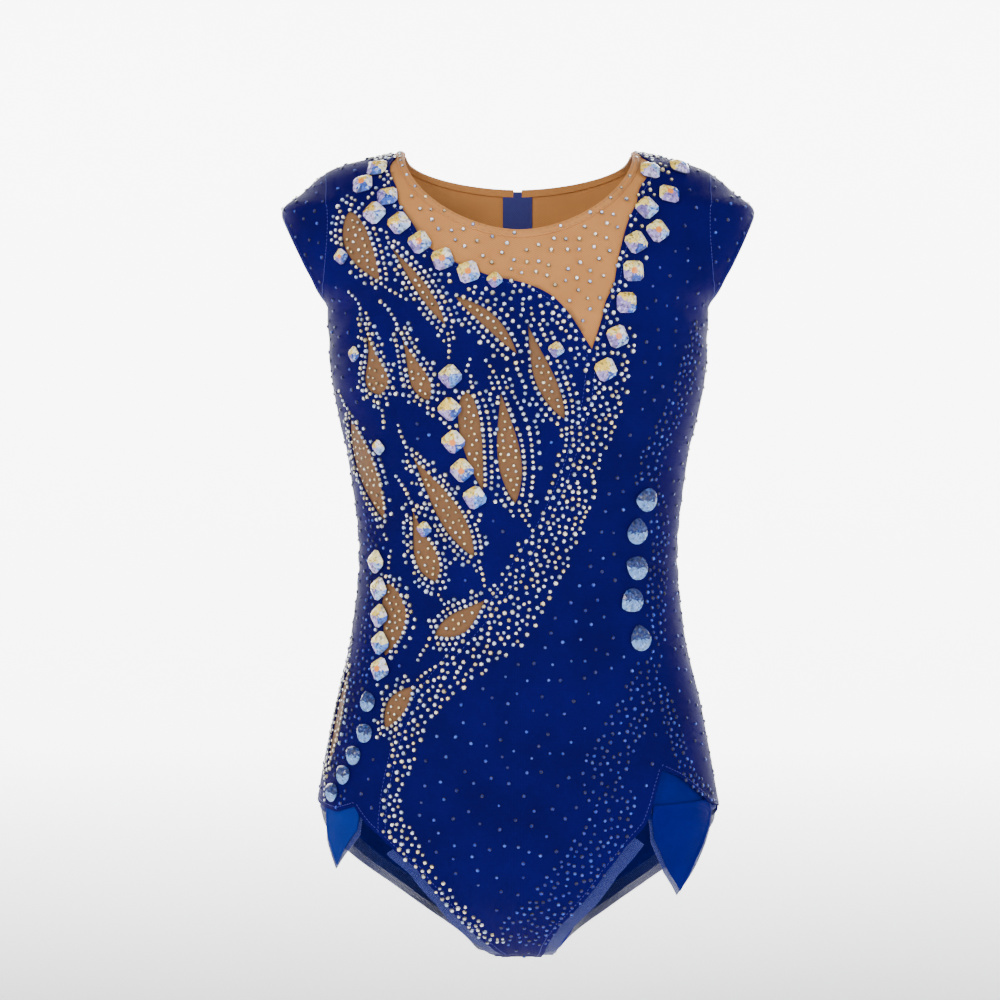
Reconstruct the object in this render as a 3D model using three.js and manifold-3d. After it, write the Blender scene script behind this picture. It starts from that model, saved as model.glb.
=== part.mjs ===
// Gymnastics leotard, in the shape that it takes on the body. Millimetres, +Z up.
// The front faces -Y, and the wearer's left side is +X. The origin lies midway between the shoulders,
// level with the top of the shoulder seams.
import * as THREE from 'three';
import { mergeVertices } from 'three/addons/utils/BufferGeometryUtils.js';
import Module from 'manifold-3d';

const wasm = await Module();
wasm.setup();

// Levels, as the drop below the shoulder seams
const capDrop = 46;
const underarmDrop = 124;
const waistDrop = 316;
const hipDrop = 524;
const crotchDrop = 642;

// Widths and depths of the body inside the garment
const neckWidth = 180;
const capSpan = 375;
const chestWidth = 304;
const waistWidth = 255;
const hipWidth = 324;
const crotchSpan = 272;
const chestFront = 103;
const waistFront = 84;
const waistBack = 71;
const hipFront = 96;
const hipBack = 112;
const roundness = 2.4;

// Neckline, armholes and back opening
const neckDepthFront = 65;
const neckDepthBack = 24;
const neckRoundness = 1.8;
const bindingWidth = 6;
const sleeveSeamInset = 39.5;
const zipTop = 31;
const zipLength = 176;
const napeDepth = 73;
const zipLean = 0.11;

// Cloth, from the outside inwards
const lycra = 1.2;
const netting = 1;
const layerGap = 0.3;
const seamGap = 0.4;
const netUnderlap = 6;
const hemTuck = 6;
const hemShowRight = 6;
const hemShowLeft = 8;
const briefsRise = 54;
const gussetWidth = 44;
const gussetRise = 14;
const linerWidth = 34;
const linerReach = 53;

// Stones
const squareStone = 15.2;
const pearStone = 20.6;
const hipStone = 16;
const stoneGirdle = 0.8;
const stoneCrown = 2.2;
const stoneSeat = 0.35;

// Hip tabs
const tabThickness = 1;
const tabGap = 0.5;
const tabBorder = 4;

// Zip
const tapeWidth = 24;
const tapeThickness = 0.8;
const chainWidth = 4.8;
const chainHeight = 2;
const chainProud = 0.75;
const openingWidth = 6.4;
const sliderLength = 12;
const sliderWidth = 9.2;
const sliderPlate = 1;
const pullLength = 26;
const pullWidth = 6.8;
const pullThickness = 1;
const runGap = 0.35;

const far = 240;
const boxDepth = 260;
const columnStep = 12;
const rowStep = 25;
const above = 20;

// Smooth curve through rising keys, without overshoot (Fritsch and Carlson's slopes)
function smoothThrough(keys, values) {
  const last = keys.length - 1;
  const rise = keys.slice(1).map((key, i) => (values[i + 1] - values[i]) / (key - keys[i]));
  const slope = values.map((value, i) => {
    if (i === 0) return rise[0];
    if (i === last) return rise[last - 1];
    const product = rise[i - 1] * rise[i];
    return product <= 0 ? 0 : 2 * product / (rise[i - 1] + rise[i]);
  });
  return (key) => {
    const at = Math.min(Math.max(key, keys[0]), keys[last]);
    let i = 0;
    while (i < last - 1 && at > keys[i + 1]) i += 1;
    const width = keys[i + 1] - keys[i];
    const t = (at - keys[i]) / width;
    const s = 1 - t;
    return values[i] * s * s * (1 + 2 * t) + values[i + 1] * t * t * (3 - 2 * t)
      + width * (slope[i] * t * s * s - slope[i + 1] * t * t * s);
  };
}

// Depth of the back: a straight lean along the zip, so that the slider can run
const backLine = (drop) => napeDepth + zipLean * (drop - zipTop);

// Body sections: drop, half width, depth in front, depth behind
const zipEnd = zipTop + zipLength;
const seatDrop = (share) => hipDrop + share * (crotchDrop - hipDrop);
const sections = [
  [-2, neckWidth / 2 - 5, 42, backLine(-2)],
  [0, neckWidth / 2 + 5, 48, backLine(0)],
  [4, neckWidth / 2 + 24, 55, backLine(4)],
  [12, capSpan / 2 - 45, 63, backLine(12)],
  [20, capSpan / 2 - 30, 69, backLine(20)],
  [32, capSpan / 2 - 16, 76, backLine(32)],
  [capDrop, capSpan / 2, 83, backLine(capDrop)],
  [underarmDrop - 48, capSpan / 2 - 2, 93, backLine(underarmDrop - 48)],
  [underarmDrop - 20, capSpan / 2 - 15, 99, backLine(underarmDrop - 20)],
  [underarmDrop, chestWidth / 2, chestFront, backLine(underarmDrop)],
  [underarmDrop + 41, chestWidth / 2 - 2, chestFront + 3, backLine(underarmDrop + 41)],
  [zipEnd + 10, chestWidth / 2 - 11, chestFront - 5, backLine(zipEnd + 10)],
  [zipEnd + 30, chestWidth / 2 - 16, chestFront - 9, backLine(zipEnd + 30)],
  [waistDrop, waistWidth / 2, waistFront, waistBack],
  [waistDrop + 64, waistWidth / 2 + 5, waistFront + 4, waistBack + 10],
  [hipDrop - 80, hipWidth / 2 - 15, hipFront - 3, hipBack - 12],
  [hipDrop - 14, hipWidth / 2 - 2, hipFront, hipBack],
  [seatDrop(0), hipWidth / 2, hipFront, hipBack],
  [seatDrop(0.31), hipWidth / 2 - 2, hipFront - 7, hipBack - 2],
  [seatDrop(0.52), hipWidth / 2 - 6, hipFront - 17, hipBack - 8],
  [seatDrop(0.69), hipWidth / 2 - 12, hipFront - 31, hipBack - 22],
  [seatDrop(0.85), crotchSpan / 2 + 7, hipFront - 50, hipBack - 48],
  [seatDrop(0.95), crotchSpan / 2 + 2, hipFront - 68, hipBack - 76],
  [seatDrop(1), crotchSpan / 2, 9, 12],
];
const drops = sections.map((section) => section[0]);
const halfWidth = smoothThrough(drops, sections.map((section) => section[1]));
const frontDepth = smoothThrough(drops, sections.map((section) => section[2]));
const backDepth = smoothThrough(drops, sections.map((section) => section[3]));

// Rows and columns of the body's surface. The columns leave a flat strip down the middle of front and back.
function rowDrops() {
  const rows = drops.filter((drop) => drop <= underarmDrop || drop > hipDrop);
  const spread = (from, to) => {
    const count = Math.max(2, Math.round((to - from) / rowStep));
    for (let i = 1; i <= count; i += 1) rows.push(from + (to - from) * i / count);
  };
  rows.push((capDrop + underarmDrop - 48) / 2);
  spread(underarmDrop, zipEnd + 10);
  spread(zipEnd + 10, waistDrop);
  spread(waistDrop, hipDrop);
  rows.push(seatDrop(0.985));
  return rows.sort((a, b) => a - b);
}

function columnAngles() {
  const angles = [];
  for (let turn = -90; turn < 270; turn += columnStep) angles.push(THREE.MathUtils.degToRad(turn));
  return angles;
}

const bulge = (value) => Math.sign(value) * Math.abs(value) ** (2 / roundness);

// A point on the body: the angle runs from the front (0) to the wearer's left (90) and the back (180)
function bodyPoint(angle, drop) {
  const forward = bulge(Math.cos(angle));
  const depth = forward > 0 ? frontDepth(drop) : backDepth(drop);
  return new THREE.Vector3(bulge(Math.sin(angle)) * halfWidth(drop), -forward * depth, -drop);
}

// The closed body, its surface moved in by an inset. A lifted top opens the layer that is cut with it.
function bodyGeometry(inset, lift) {
  const rows = rowDrops();
  const angles = columnAngles();
  const points = rows.flatMap((drop) => angles.map((angle) => bodyPoint(angle, drop)));
  const top = points.length;
  points.push(new THREE.Vector3(0, 0, -rows[0]));
  points.push(new THREE.Vector3(0, 0, -rows[rows.length - 1]));
  const index = [];
  const wide = angles.length;
  for (let row = 0; row < rows.length - 1; row += 1) {
    for (let column = 0; column < wide; column += 1) {
      const a = row * wide + column;
      const b = row * wide + (column + 1) % wide;
      index.push(a, a + wide, b, b, a + wide, b + wide);
    }
  }
  const base = (rows.length - 1) * wide;
  for (let column = 0; column < wide; column += 1) {
    const next = (column + 1) % wide;
    index.push(top, column, next, top + 1, base + next, base + column);
  }
  const geometry = new THREE.BufferGeometry();
  geometry.setAttribute('position', new THREE.Float32BufferAttribute(points.flatMap((p) => p.toArray()), 3));
  geometry.setIndex(index);
  geometry.computeVertexNormals();
  const normal = geometry.getAttribute('normal');
  const position = geometry.getAttribute('position');
  for (let i = 0; i < points.length; i += 1) {
    const away = new THREE.Vector3().fromBufferAttribute(normal, i);
    points[i].addScaledVector(away, -inset);
    if (lift > 0 && (i < wide || i === top)) points[i].z = lift - rows[0];
    position.setXYZ(i, points[i].x, points[i].y, points[i].z);
  }
  return geometry;
}

function toSolid(geometry) {
  const bare = geometry.clone();
  bare.deleteAttribute('normal');
  bare.deleteAttribute('uv');
  const merged = mergeVertices(bare, 1e-4);
  const mesh = new wasm.Mesh({
    numProp: 3,
    vertProperties: new Float32Array(merged.getAttribute('position').array),
    triVerts: new Uint32Array(merged.index.array),
  });
  return new wasm.Manifold(mesh);
}

function toGeometry(solid) {
  const mesh = solid.getMesh();
  const geometry = new THREE.BufferGeometry();
  geometry.setAttribute('position', new THREE.BufferAttribute(new Float32Array(mesh.vertProperties), 3));
  geometry.setIndex(new THREE.BufferAttribute(new Uint32Array(mesh.triVerts), 1));
  return geometry;
}

// One layer of cloth over the whole body, from an outer inset to an inner one
const layer = (outer, inner) => toSolid(bodyGeometry(outer, 0)).subtract(toSolid(bodyGeometry(inner, above)));

const netInset = lycra + layerGap;
const briefsInset = netInset + netting + layerGap;
const linerInset = briefsInset + lycra + layerGap;
const lycraLayer = layer(0, lycra);
const netLayer = layer(netInset, netInset + netting);
const briefsLayer = layer(briefsInset, briefsInset + lycra);
const linerLayer = layer(linerInset, linerInset + netting);
const bindingLayer = layer(0, netInset + netting);

// Outlines are seen from the front: x is a share of the body's half width there, and z is minus the drop
const at = (share, drop) => [share * halfWidth(drop), -drop];
const low = (share, part) => at(share, seatDrop(part));

function throughPoints(points, steps) {
  const curve = new THREE.SplineCurve(points.map(([x, z]) => new THREE.Vector2(x, z)));
  return curve.getPoints(steps).map((point) => [point.x, point.y]);
}

const moved = (points, x, z) => points.map((point) => [point[0] + x, point[1] + z]);
const mirrored = (points, side) => points.map((point) => [point[0] * side, point[1]]);
const reversed = (points) => [...points].reverse();

// A flat outline carried through the front or the back of the body
function slab(points, half) {
  const shape = new THREE.Shape(points.map(([x, z]) => new THREE.Vector2(x, z)));
  const geometry = new THREE.ExtrudeGeometry(shape, { depth: boxDepth, bevelEnabled: false });
  geometry.rotateX(Math.PI / 2);
  const shift = { front: -layerGap / 2, back: boxDepth + layerGap / 2, both: boxDepth / 2 }[half];
  geometry.translate(0, shift, 0);
  return toSolid(geometry);
}

// Half of the neckline, from the shoulder down to the middle
function neckCurve(depth, grow, steps) {
  const points = [];
  for (let i = 0; i <= steps; i += 1) {
    const turn = Math.PI / 2 * i / steps;
    const x = (neckWidth / 2 + grow) * Math.cos(turn) ** (2 / neckRoundness);
    points.push([x, -(depth + grow) * Math.sin(turn) ** (2 / neckRoundness)]);
  }
  return points;
}

function neckHole(depth, grow) {
  const side = neckCurve(depth, grow, 8);
  return [[side[0][0], above], ...side, ...reversed(mirrored(side, -1)).slice(1), [-side[0][0], above]];
}

const neckCutter = (grow) => slab(neckHole(neckDepthFront, grow), 'front')
  .add(slab(neckHole(neckDepthBack, grow), 'back'))
  .add(slab([[-neckWidth / 2 - grow, above], [neckWidth / 2 + grow, above],
    [neckWidth / 2 + grow, 0], [-neckWidth / 2 - grow, 0]], 'both'));

// Seam lines, each on the wearer's left unless its name says otherwise
const underarmX = halfWidth(underarmDrop) - 1.5;
const sleeveSeam = throughPoints([[capSpan / 2 - sleeveSeamInset, above],
  [capSpan / 2 - sleeveSeamInset, -12], [capSpan / 2 - sleeveSeamInset - 3, -62],
  [underarmX, -underarmDrop]], 8);
const armholeTip = [capSpan / 2 + 3, -capDrop + 2];
const yokeRight = throughPoints([[-neckWidth / 2 - 9, above], [-neckWidth / 2 - 8, -8],
  [-neckWidth / 2 - 5, -30], at(-0.453, 55), at(-0.362, 80), at(-0.169, 98), at(0.055, 108),
  at(0.221, 124), at(0.37, 157)], 18);
const yokeLeft = throughPoints([at(0.37, 157), at(0.431, 123), at(0.421, 80), [neckWidth / 2 + 2, -37],
  [neckWidth / 2 + bindingWidth + 2, -4], [neckWidth / 2 + bindingWidth + 3, above]], 10);
const sweep = throughPoints([at(0.37, 157), at(0.339, 212), at(0.197, 276), at(-0.099, 344),
  at(-0.451, 404), at(-0.6, 444), at(-0.65, 490), low(-0.655, 0.095)], 16);
const backYoke = throughPoints([[neckWidth / 2 + 24, above], [neckWidth / 2 + 23, -6],
  [neckWidth / 2 + 16, -44], [neckWidth / 2 - 4, -86], [50, -114], [0, -126]], 12);

// Hems, from the side seam to the crotch
const hemRight = [low(-1.1, -0.085), low(-0.883, -0.05), low(-0.799, -0.1), low(-0.722, 0.017),
  low(-0.597, 0.17), low(-0.49, 0.297), low(-0.259, 0.729), low(-0.098, 0.958)];
const hemLeft = [low(1.1, 0.07), low(0.938, -0.1), low(0.811, -0.288), low(0.721, -0.356),
  low(0.651, -0.127), low(0.607, 0), low(0.425, 0.305), low(0.285, 0.585), low(0.181, 0.788),
  low(0.141, 0.99)];
const hemBack = throughPoints([low(1.1, -0.085), low(0.99, 0), low(0.93, 0.2), low(0.78, 0.46),
  low(0.52, 0.74), low(0.27, 0.92), low(0.14, 1.02)], 10);

const sideEdge = [far, -underarmDrop];
const shoulderEdge = reversed(moved(sleeveSeam, -seamGap, 0));
const underCrotch = -crotchDrop - above;

function leaf([fromShare, fromDrop], [toShare, toDrop], width, bend) {
  const from = at(fromShare, fromDrop);
  const to = at(toShare, toDrop);
  const length = Math.hypot(to[0] - from[0], to[1] - from[1]);
  const across = [-(to[1] - from[1]) / length, (to[0] - from[0]) / length];
  const side = (reach) => (t) => {
    const lean = 4 * t * (1 - t) * reach;
    return [from[0] + (to[0] - from[0]) * t + across[0] * lean, from[1] + (to[1] - from[1]) * t + across[1] * lean];
  };
  const steps = [0.25, 0.5, 0.75];
  return [from, ...steps.map(side(bend + width / 2)), to, ...reversed(steps).map(side(bend - width / 2))];
}

// Leaf windows through the right side's applique: both tips, width and bend
const windows = [
  [[-0.74, 56], [-0.63, 104], 15, 2],
  [[-0.53, 80], [-0.37, 138], 8, 2],
  [[-0.3, 118], [-0.01, 157], 9, 4],
  [[-0.8, 130], [-0.72, 192], 15, 1],
  [[-0.61, 143], [-0.47, 194], 14, -2],
  [[-0.3, 190], [-0.22, 262], 12, -1],
  [[-0.09, 191], [-0.02, 272], 14, -2],
  [[0.05, 140], [0.24, 206], 11, -3],
  [[-0.92, 212], [-0.81, 288], 13, -2],
  [[-0.6, 240], [-0.27, 312], 15, 1],
  [[-0.64, 276], [-0.49, 333], 12, -2],
  [[-0.8, 336], [-0.53, 361], 16, -2],
  [[-0.2, 350], [-0.5, 377], 12, -3],
  [[-0.56, 416], [-0.7, 453], 12, 2],
];

const bodyParts = [];
const blueLycra = { color: 0x0f1368, roughness: 0.55, metalness: 0 };
const nudeNet = { color: 0xc29162, roughness: 0.7, metalness: 0 };
const sheerNet = { color: 0x404a80, roughness: 0.6, metalness: 0 };
const steel = { color: 0xb8bcc4, roughness: 0.3, metalness: 1 };
const nylon = { color: 0x14186a, roughness: 0.5, metalness: 0 };
const clearStone = { color: 0xf2ecd8, roughness: 0.05, metalness: 0.1 };
const blueStone = { color: 0x6f9be0, roughness: 0.05, metalness: 0.1 };

function named(name, geometry, finish) {
  const mesh = new THREE.Mesh(geometry, new THREE.MeshStandardMaterial(finish));
  mesh.name = name;
  return mesh;
}

const addCloth = (name, solid, finish) => bodyParts.push(named(name, toGeometry(solid), finish));
const neckOff = neckCutter(bindingWidth + seamGap);

function makeFront() {
  const blue = [...reversed(yokeLeft), ...sweep.slice(1), ...hemRight.slice(4),
    [hemRight[7][0], underCrotch], [hemLeft[9][0], underCrotch], ...reversed(hemLeft),
    sideEdge, ...shoulderEdge];
  addCloth('front_panel', lycraLayer.intersect(slab(blue, 'front')).subtract(neckOff), blueLycra);

  const seamSide = reversed(moved(sweep, -seamGap, seamGap));
  const applique = [...yokeRight.slice(0, -1), ...reversed(seamSide), ...reversed(hemRight.slice(0, 4)),
    ...mirrored([sideEdge, ...shoulderEdge], -1)];
  const holes = windows.map(([from, to, width, bend]) => slab(leaf(from, to, width, bend), 'front'));
  const cut = holes.reduce((solid, hole) => solid.subtract(hole), lycraLayer.intersect(slab(applique, 'front')));
  addCloth('front_applique', cut.subtract(neckOff), blueLycra);

  const base = [[-far, above], ...moved(reversed(yokeLeft), netUnderlap, 0).slice(0, -1),
    ...moved(sweep.slice(1, -2), netUnderlap, 0), [-far, sweep[sweep.length - 3][1]]];
  const shoulder = slab([[capSpan / 2 - sleeveSeamInset, above], [far, above], [far, -underarmDrop - 1],
    [underarmX, -underarmDrop - 1], ...reversed(sleeveSeam).slice(1)], 'both');
  const shoulderRight = shoulder.mirror([1, 0, 0]);
  addCloth('front_net_base', netLayer.intersect(slab(base, 'front')).subtract(neckOff).subtract(shoulderRight),
    nudeNet);
}

function makeBack(side, word) {
  const half = openingWidth / 2;
  const upper = moved(backYoke, 0, seamGap / 2).slice(0, -1);
  const yoke = [...upper, [half, upper[upper.length - 1][1] - 2], [half, above]];
  addCloth(`back_yoke_${word}`, lycraLayer.intersect(slab(mirrored(yoke, side), 'back')).subtract(neckOff),
    nudeNet);
  const lower = moved(backYoke, seamGap / 2, -seamGap / 2).slice(0, -1);
  const panel = [...lower, [half, lower[lower.length - 1][1] - 2], [half, -zipEnd],
    [layerGap / 2, -zipEnd - 2], [layerGap / 2, underCrotch], [hemBack[10][0], underCrotch],
    ...reversed(hemBack), sideEdge, ...shoulderEdge];
  addCloth(`back_panel_${word}`, lycraLayer.intersect(slab(mirrored(panel, side), 'back')), blueLycra);
}

function makeSleeve(side, word) {
  const outline = [...sleeveSeam.slice(0, -1), [underarmX, seamGap - underarmDrop], armholeTip,
    [far, -capDrop], [far, above]];
  addCloth(`cap_sleeve_${word}`, lycraLayer.intersect(slab(mirrored(outline, side), 'both')), blueLycra);
}

function makeBinding() {
  const ring = bindingLayer.intersect(neckCutter(bindingWidth)).subtract(neckCutter(0));
  const half = openingWidth / 2;
  const split = [[-half, -half], [half, -half], [half, -neckDepthBack * 2], [-half, -neckDepthBack * 2]];
  addCloth('neck_binding', ring.subtract(slab(split, 'back')), nudeNet);
}

// Leg edges of the briefs: the front ones show a few millimetres past the left hem
const legRight = [low(-1.1, -0.03), low(-0.72, -0.03), low(-0.47, 0.27), low(-0.25, 0.7), low(-0.165, 1.1)];
const legLeft = [low(1.1, -0.03), low(0.62, -0.03), low(0.53, 0.16), low(0.325, 0.585), low(0.175, 1.1)];
const legBack = moved(hemBack, -4, 5);
const tabRow = seatDrop(-0.03);

// A band through the crotch, from front to back
const crotchBand = (width, rise) => [[-width / 2, rise - crotchDrop], [width / 2, rise - crotchDrop],
  [width / 2, underCrotch], [-width / 2, underCrotch]];

function makeBriefs() {
  const top = -hipDrop + briefsRise;
  const front = [[-far, top], ...legRight, ...reversed(legLeft), [far, top]];
  const backHalf = [...legBack, [legBack[10][0], underCrotch]];
  const back = [[-far, top], ...mirrored(backHalf, -1), ...reversed(backHalf), [far, top]];
  const solid = briefsLayer.intersect(slab(front, 'front').add(slab(back, 'back'))
    .add(slab(crotchBand(gussetWidth, gussetRise), 'both')));
  addCloth('briefs', solid, blueLycra);
  addCloth('crotch_liner', linerLayer.intersect(slab(crotchBand(linerWidth, linerReach), 'both')), nudeNet);
}

// Sheer edging under each hem: it runs down the front leg edge, under the crotch and up the back
function makeHemNet(side, word) {
  const hem = side < 0 ? mirrored(hemRight.slice(4), -1) : [low(0.55, 0.09), ...hemLeft.slice(6)];
  const show = side < 0 ? hemShowRight : hemShowLeft;
  const end = hem[hem.length - 1];
  const front = [...moved(hem, -hemTuck, hemTuck), [end[0] - hemTuck, underCrotch], [end[0] + show, underCrotch],
    ...reversed(moved(hem, show, -show * 0.6))];
  const rear = hemBack.slice(2);
  const last = rear[rear.length - 1];
  const back = [...moved(rear, -hemTuck, hemTuck), [last[0] - hemTuck, underCrotch], [last[0] + hemTuck, underCrotch],
    ...reversed(moved(rear, hemTuck, -hemTuck / 2))];
  const join = [[end[0] - hemTuck, -crotchDrop + 3], [end[0] + show, -crotchDrop + 3],
    [end[0] + show, underCrotch], [end[0] - hemTuck, underCrotch]];
  const cutter = slab(mirrored(front, side), 'front').add(slab(mirrored(back, side), 'back'))
    .add(slab(mirrored(join, side), 'both'));
  addCloth(`hem_net_${word}`, netLayer.intersect(cutter), sheerNet);
}

// A pointed tab that hangs from the hem over the hip. It turns on its straight top edge.
function makeTab(side, word, outline) {
  const first = outline[0];
  const last = outline[outline.length - 1];
  const edge = ([x, z]) => {
    const share = x / halfWidth(-z);
    const y = -frontDepth(-z) * (1 - share ** roundness) ** (1 / roundness);
    return new THREE.Vector3(side * x, y, z);
  };
  const from = edge(first);
  const to = edge(last);
  const along = new THREE.Vector3(to.x - from.x, to.y - from.y, 0);
  const stretch = along.length() / Math.abs(along.x);
  along.normalize();
  const away = new THREE.Vector3(0, 0, 1).cross(along).multiplyScalar(-1);
  if (away.y > 0) away.negate();
  const basis = new THREE.Matrix4().makeBasis(along, new THREE.Vector3(0, 0, 1),
    along.clone().cross(new THREE.Vector3(0, 0, 1)));
  const flat = outline.map(([x, z]) => [Math.abs(x - first[0]) * stretch, z - first[1]]);
  const wide = flat.map(([x, z], i) => (i === 0 || i === flat.length - 1 ? [x, z]
    : [x + Math.sign(x - flat[flat.length - 1][0] / 2) * tabBorder / 2, z - tabBorder]));
  const plate = (points, thickness, inset) => {
    const shape = new THREE.Shape(points.map(([x, z]) => new THREE.Vector2(x, z)));
    const geometry = new THREE.ExtrudeGeometry(shape, { depth: thickness, bevelEnabled: false });
    geometry.translate(0, 0, -thickness / 2);
    geometry.applyMatrix4(basis);
    const place = from.clone().addScaledVector(away, -inset - thickness / 2);
    geometry.translate(place.x, place.y, place.z);
    return geometry;
  };
  const outer = briefsInset - tabThickness - layerGap;
  bodyParts.push(named(`hip_tab_${word}`, plate(flat, tabThickness, outer), blueLycra));
  bodyParts.push(named(`hip_tab_net_${word}`, plate(wide, netting, outer + tabThickness + layerGap), sheerNet));
}

// The zip, in a frame of its own: x across, y away from the back, z up from the zip's top end
function zipFrame() {
  const share = bulge(Math.cos(THREE.MathUtils.degToRad(columnStep / 2)));
  const frame = new THREE.Group();
  frame.position.set(0, share * backLine(zipTop), -zipTop);
  frame.rotation.x = Math.atan(share * zipLean);
  return frame;
}

function block(x, y, z) {
  const geometry = new THREE.BoxGeometry(x[1] - x[0], y[1] - y[0], z[1] - z[0]);
  geometry.translate((x[0] + x[1]) / 2, (y[0] + y[1]) / 2, (z[0] + z[1]) / 2);
  return geometry;
}

const chainTop = chainProud;
const chainBase = chainTop - chainHeight;
const plateTop = chainTop + runGap + sliderPlate;
const pivotHeight = plateTop + 1;
const pivotDrop = 7;

function makeZip() {
  const frame = zipFrame();
  const tapeTop = chainBase - runGap;
  const tape = block([-tapeWidth / 2, tapeWidth / 2], [tapeTop - tapeThickness, tapeTop],
    [-zipLength - 8, 0]);
  frame.add(named('zip_tape', tape, nylon));
  const chain = block([-chainWidth / 2, chainWidth / 2], [chainBase, chainTop], [-zipLength, -1]);
  frame.add(named('zip_chain', chain, nylon));
  frame.add(named('zip_slider', makeSlider(), steel));
  frame.add(named('zip_pull', makePull(), steel));
  return frame;
}

function makeSlider() {
  const half = sliderWidth / 2;
  const slot = chainWidth / 2 + runGap;
  const body = toSolid(block([-half, half], [runGap, plateTop], [-sliderLength, 0]));
  const groove = toSolid(block([-slot, slot], [-1, chainTop + runGap], [-sliderLength - 1, 1]));
  const bridgeHalf = 0.9;
  const bridgeTop = pivotHeight + 1.9;
  const bridge = toSolid(block([-bridgeHalf, bridgeHalf], [plateTop - 0.2, bridgeTop], [-9.7, -2.3]));
  const eye = toSolid(block([-half, half], [plateTop, pivotHeight + 1], [-8.3, -3.7]));
  return toGeometry(body.subtract(groove).add(bridge.subtract(eye)));
}

function makePull() {
  const half = pullWidth / 2;
  const barHalf = pullThickness / 2;
  const top = -pivotDrop + barHalf;
  const shape = new THREE.Shape();
  shape.moveTo(-half, top);
  shape.lineTo(half, top);
  shape.absarc(0, top - pullLength + half, half, 0, -Math.PI, true);
  const inner = half - 1.3;
  const eye = [[-inner, top - pullThickness - 5.2], [inner, top - pullThickness - 5.2],
    [inner, top - pullThickness], [-inner, top - pullThickness]];
  const window = new THREE.Path(eye.map(([x, z]) => new THREE.Vector2(x, z)));
  shape.holes.push(window);
  const geometry = new THREE.ExtrudeGeometry(shape, { depth: pullThickness, bevelEnabled: false, curveSegments: 6 });
  geometry.rotateX(Math.PI / 2);
  geometry.translate(0, pivotHeight + barHalf, 0);
  return geometry;
}

// Stones. Each lies on the cloth at a share of the half width and a drop, and is turned on its own axis.
function cushionShape(size) {
  const half = size / 2;
  const corner = size * 0.17;
  const points = [];
  for (const [x, z] of [[1, 1], [-1, 1], [-1, -1], [1, -1]]) {
    const near = [half * x, (half - corner) * z];
    const next = [(half - corner) * x, half * z];
    points.push(...(x * z > 0 ? [near, next] : [next, near]));
  }
  return new THREE.Shape(points.map(([x, z]) => new THREE.Vector2(x, z)));
}

function pearShape(size) {
  const radius = size * 0.46;
  const shape = new THREE.Shape();
  shape.moveTo(0, size * 0.54);
  shape.quadraticCurveTo(-radius * 0.8, size * 0.4, -radius, 0);
  shape.absarc(0, 0, radius, Math.PI, Math.PI * 2, false);
  shape.quadraticCurveTo(radius * 0.8, size * 0.4, 0, size * 0.54);
  return shape;
}

function stoneGeometry(shape, inset) {
  return new THREE.ExtrudeGeometry(shape, {
    depth: stoneGirdle, bevelEnabled: true, bevelThickness: stoneCrown, bevelSize: inset, bevelOffset: -inset,
    bevelSegments: 1, curveSegments: 3,
  }).translate(0, 0, stoneCrown);
}

const bodyMesh = new THREE.Mesh(bodyGeometry(0, 0), new THREE.MeshBasicMaterial({ side: THREE.DoubleSide }));
const ray = new THREE.Raycaster();

// The height of the cloth over the plane through a point
function clothHeight(point, normal) {
  const reach = 40;
  ray.set(point.clone().addScaledVector(normal, reach), normal.clone().negate());
  const hits = ray.intersectObject(bodyMesh);
  return hits.length ? reach - hits[0].distance : -reach;
}

function placeStone(mesh, share, drop, turn, size) {
  const step = 3;
  const spot = (s, d) => {
    const y = -frontDepth(d) * (1 - Math.abs(s) ** roundness) ** (1 / roundness);
    return new THREE.Vector3(s * halfWidth(d), y, -d);
  };
  const centre = spot(share, drop);
  const shift = step / halfWidth(drop);
  const across = spot(Math.min(share + shift, 0.995), drop).sub(spot(share - shift, drop)).normalize();
  const up = spot(share, drop - step).sub(spot(share, drop + step)).normalize();
  const normal = across.clone().cross(up).normalize();
  const side = up.clone().cross(normal).normalize();
  const basis = new THREE.Matrix4().makeBasis(side, normal.clone().cross(side), normal);
  const reach = size / 2 - stoneCrown;
  let lift = clothHeight(centre, normal);
  for (let k = 0; k < 8; k += 1) {
    const angle = Math.PI / 4 * k;
    const rim = new THREE.Vector3(Math.cos(angle) * reach, Math.sin(angle) * reach, 0).applyMatrix4(basis);
    lift = Math.max(lift, clothHeight(centre.clone().add(rim), normal));
  }
  mesh.position.copy(centre).addScaledVector(normal, lift + stoneSeat);
  mesh.quaternion.setFromRotationMatrix(basis);
  mesh.rotateZ(THREE.MathUtils.degToRad(turn));
  return mesh;
}

// The share of a place that keeps its distance from the neckline
const besideNeck = (gap, drop) => (neckWidth / 2 + gap) / halfWidth(drop);

// Share, drop and turn of each square stone, by row
const squareRows = {
  yoke_right: [[-besideNeck(19.6, 16), 16, 45], [-besideNeck(30.4, 29), 29, 40], [-0.557, 39, 42],
    [-0.591, 52, 45], [-0.49, 60, 35], [-0.408, 75, 30], [-0.319, 88, 12], [-0.218, 98, 10]],
  yoke_left: [[besideNeck(11.9, 18), 18, 40], [besideNeck(35.3, 15), 15, 30], [0.65, 37, 42],
    [0.525, 48, 45], [0.57, 66, 40], [0.482, 75, 35], [0.493, 97, 20], [0.533, 121, 25], [0.496, 147, 25], [0.441, 172, 30]],
  ribs: [[-0.35, 177, 40], [-0.366, 202, 45], [-0.361, 227, 35], [-0.324, 249, 40], [-0.257, 270, 30]],
  waist: [[-0.865, 322, 40], [-0.842, 343, 35], [-0.828, 364, 40], [-0.807, 385, 42], [-0.783, 405, 38]],
};
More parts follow.
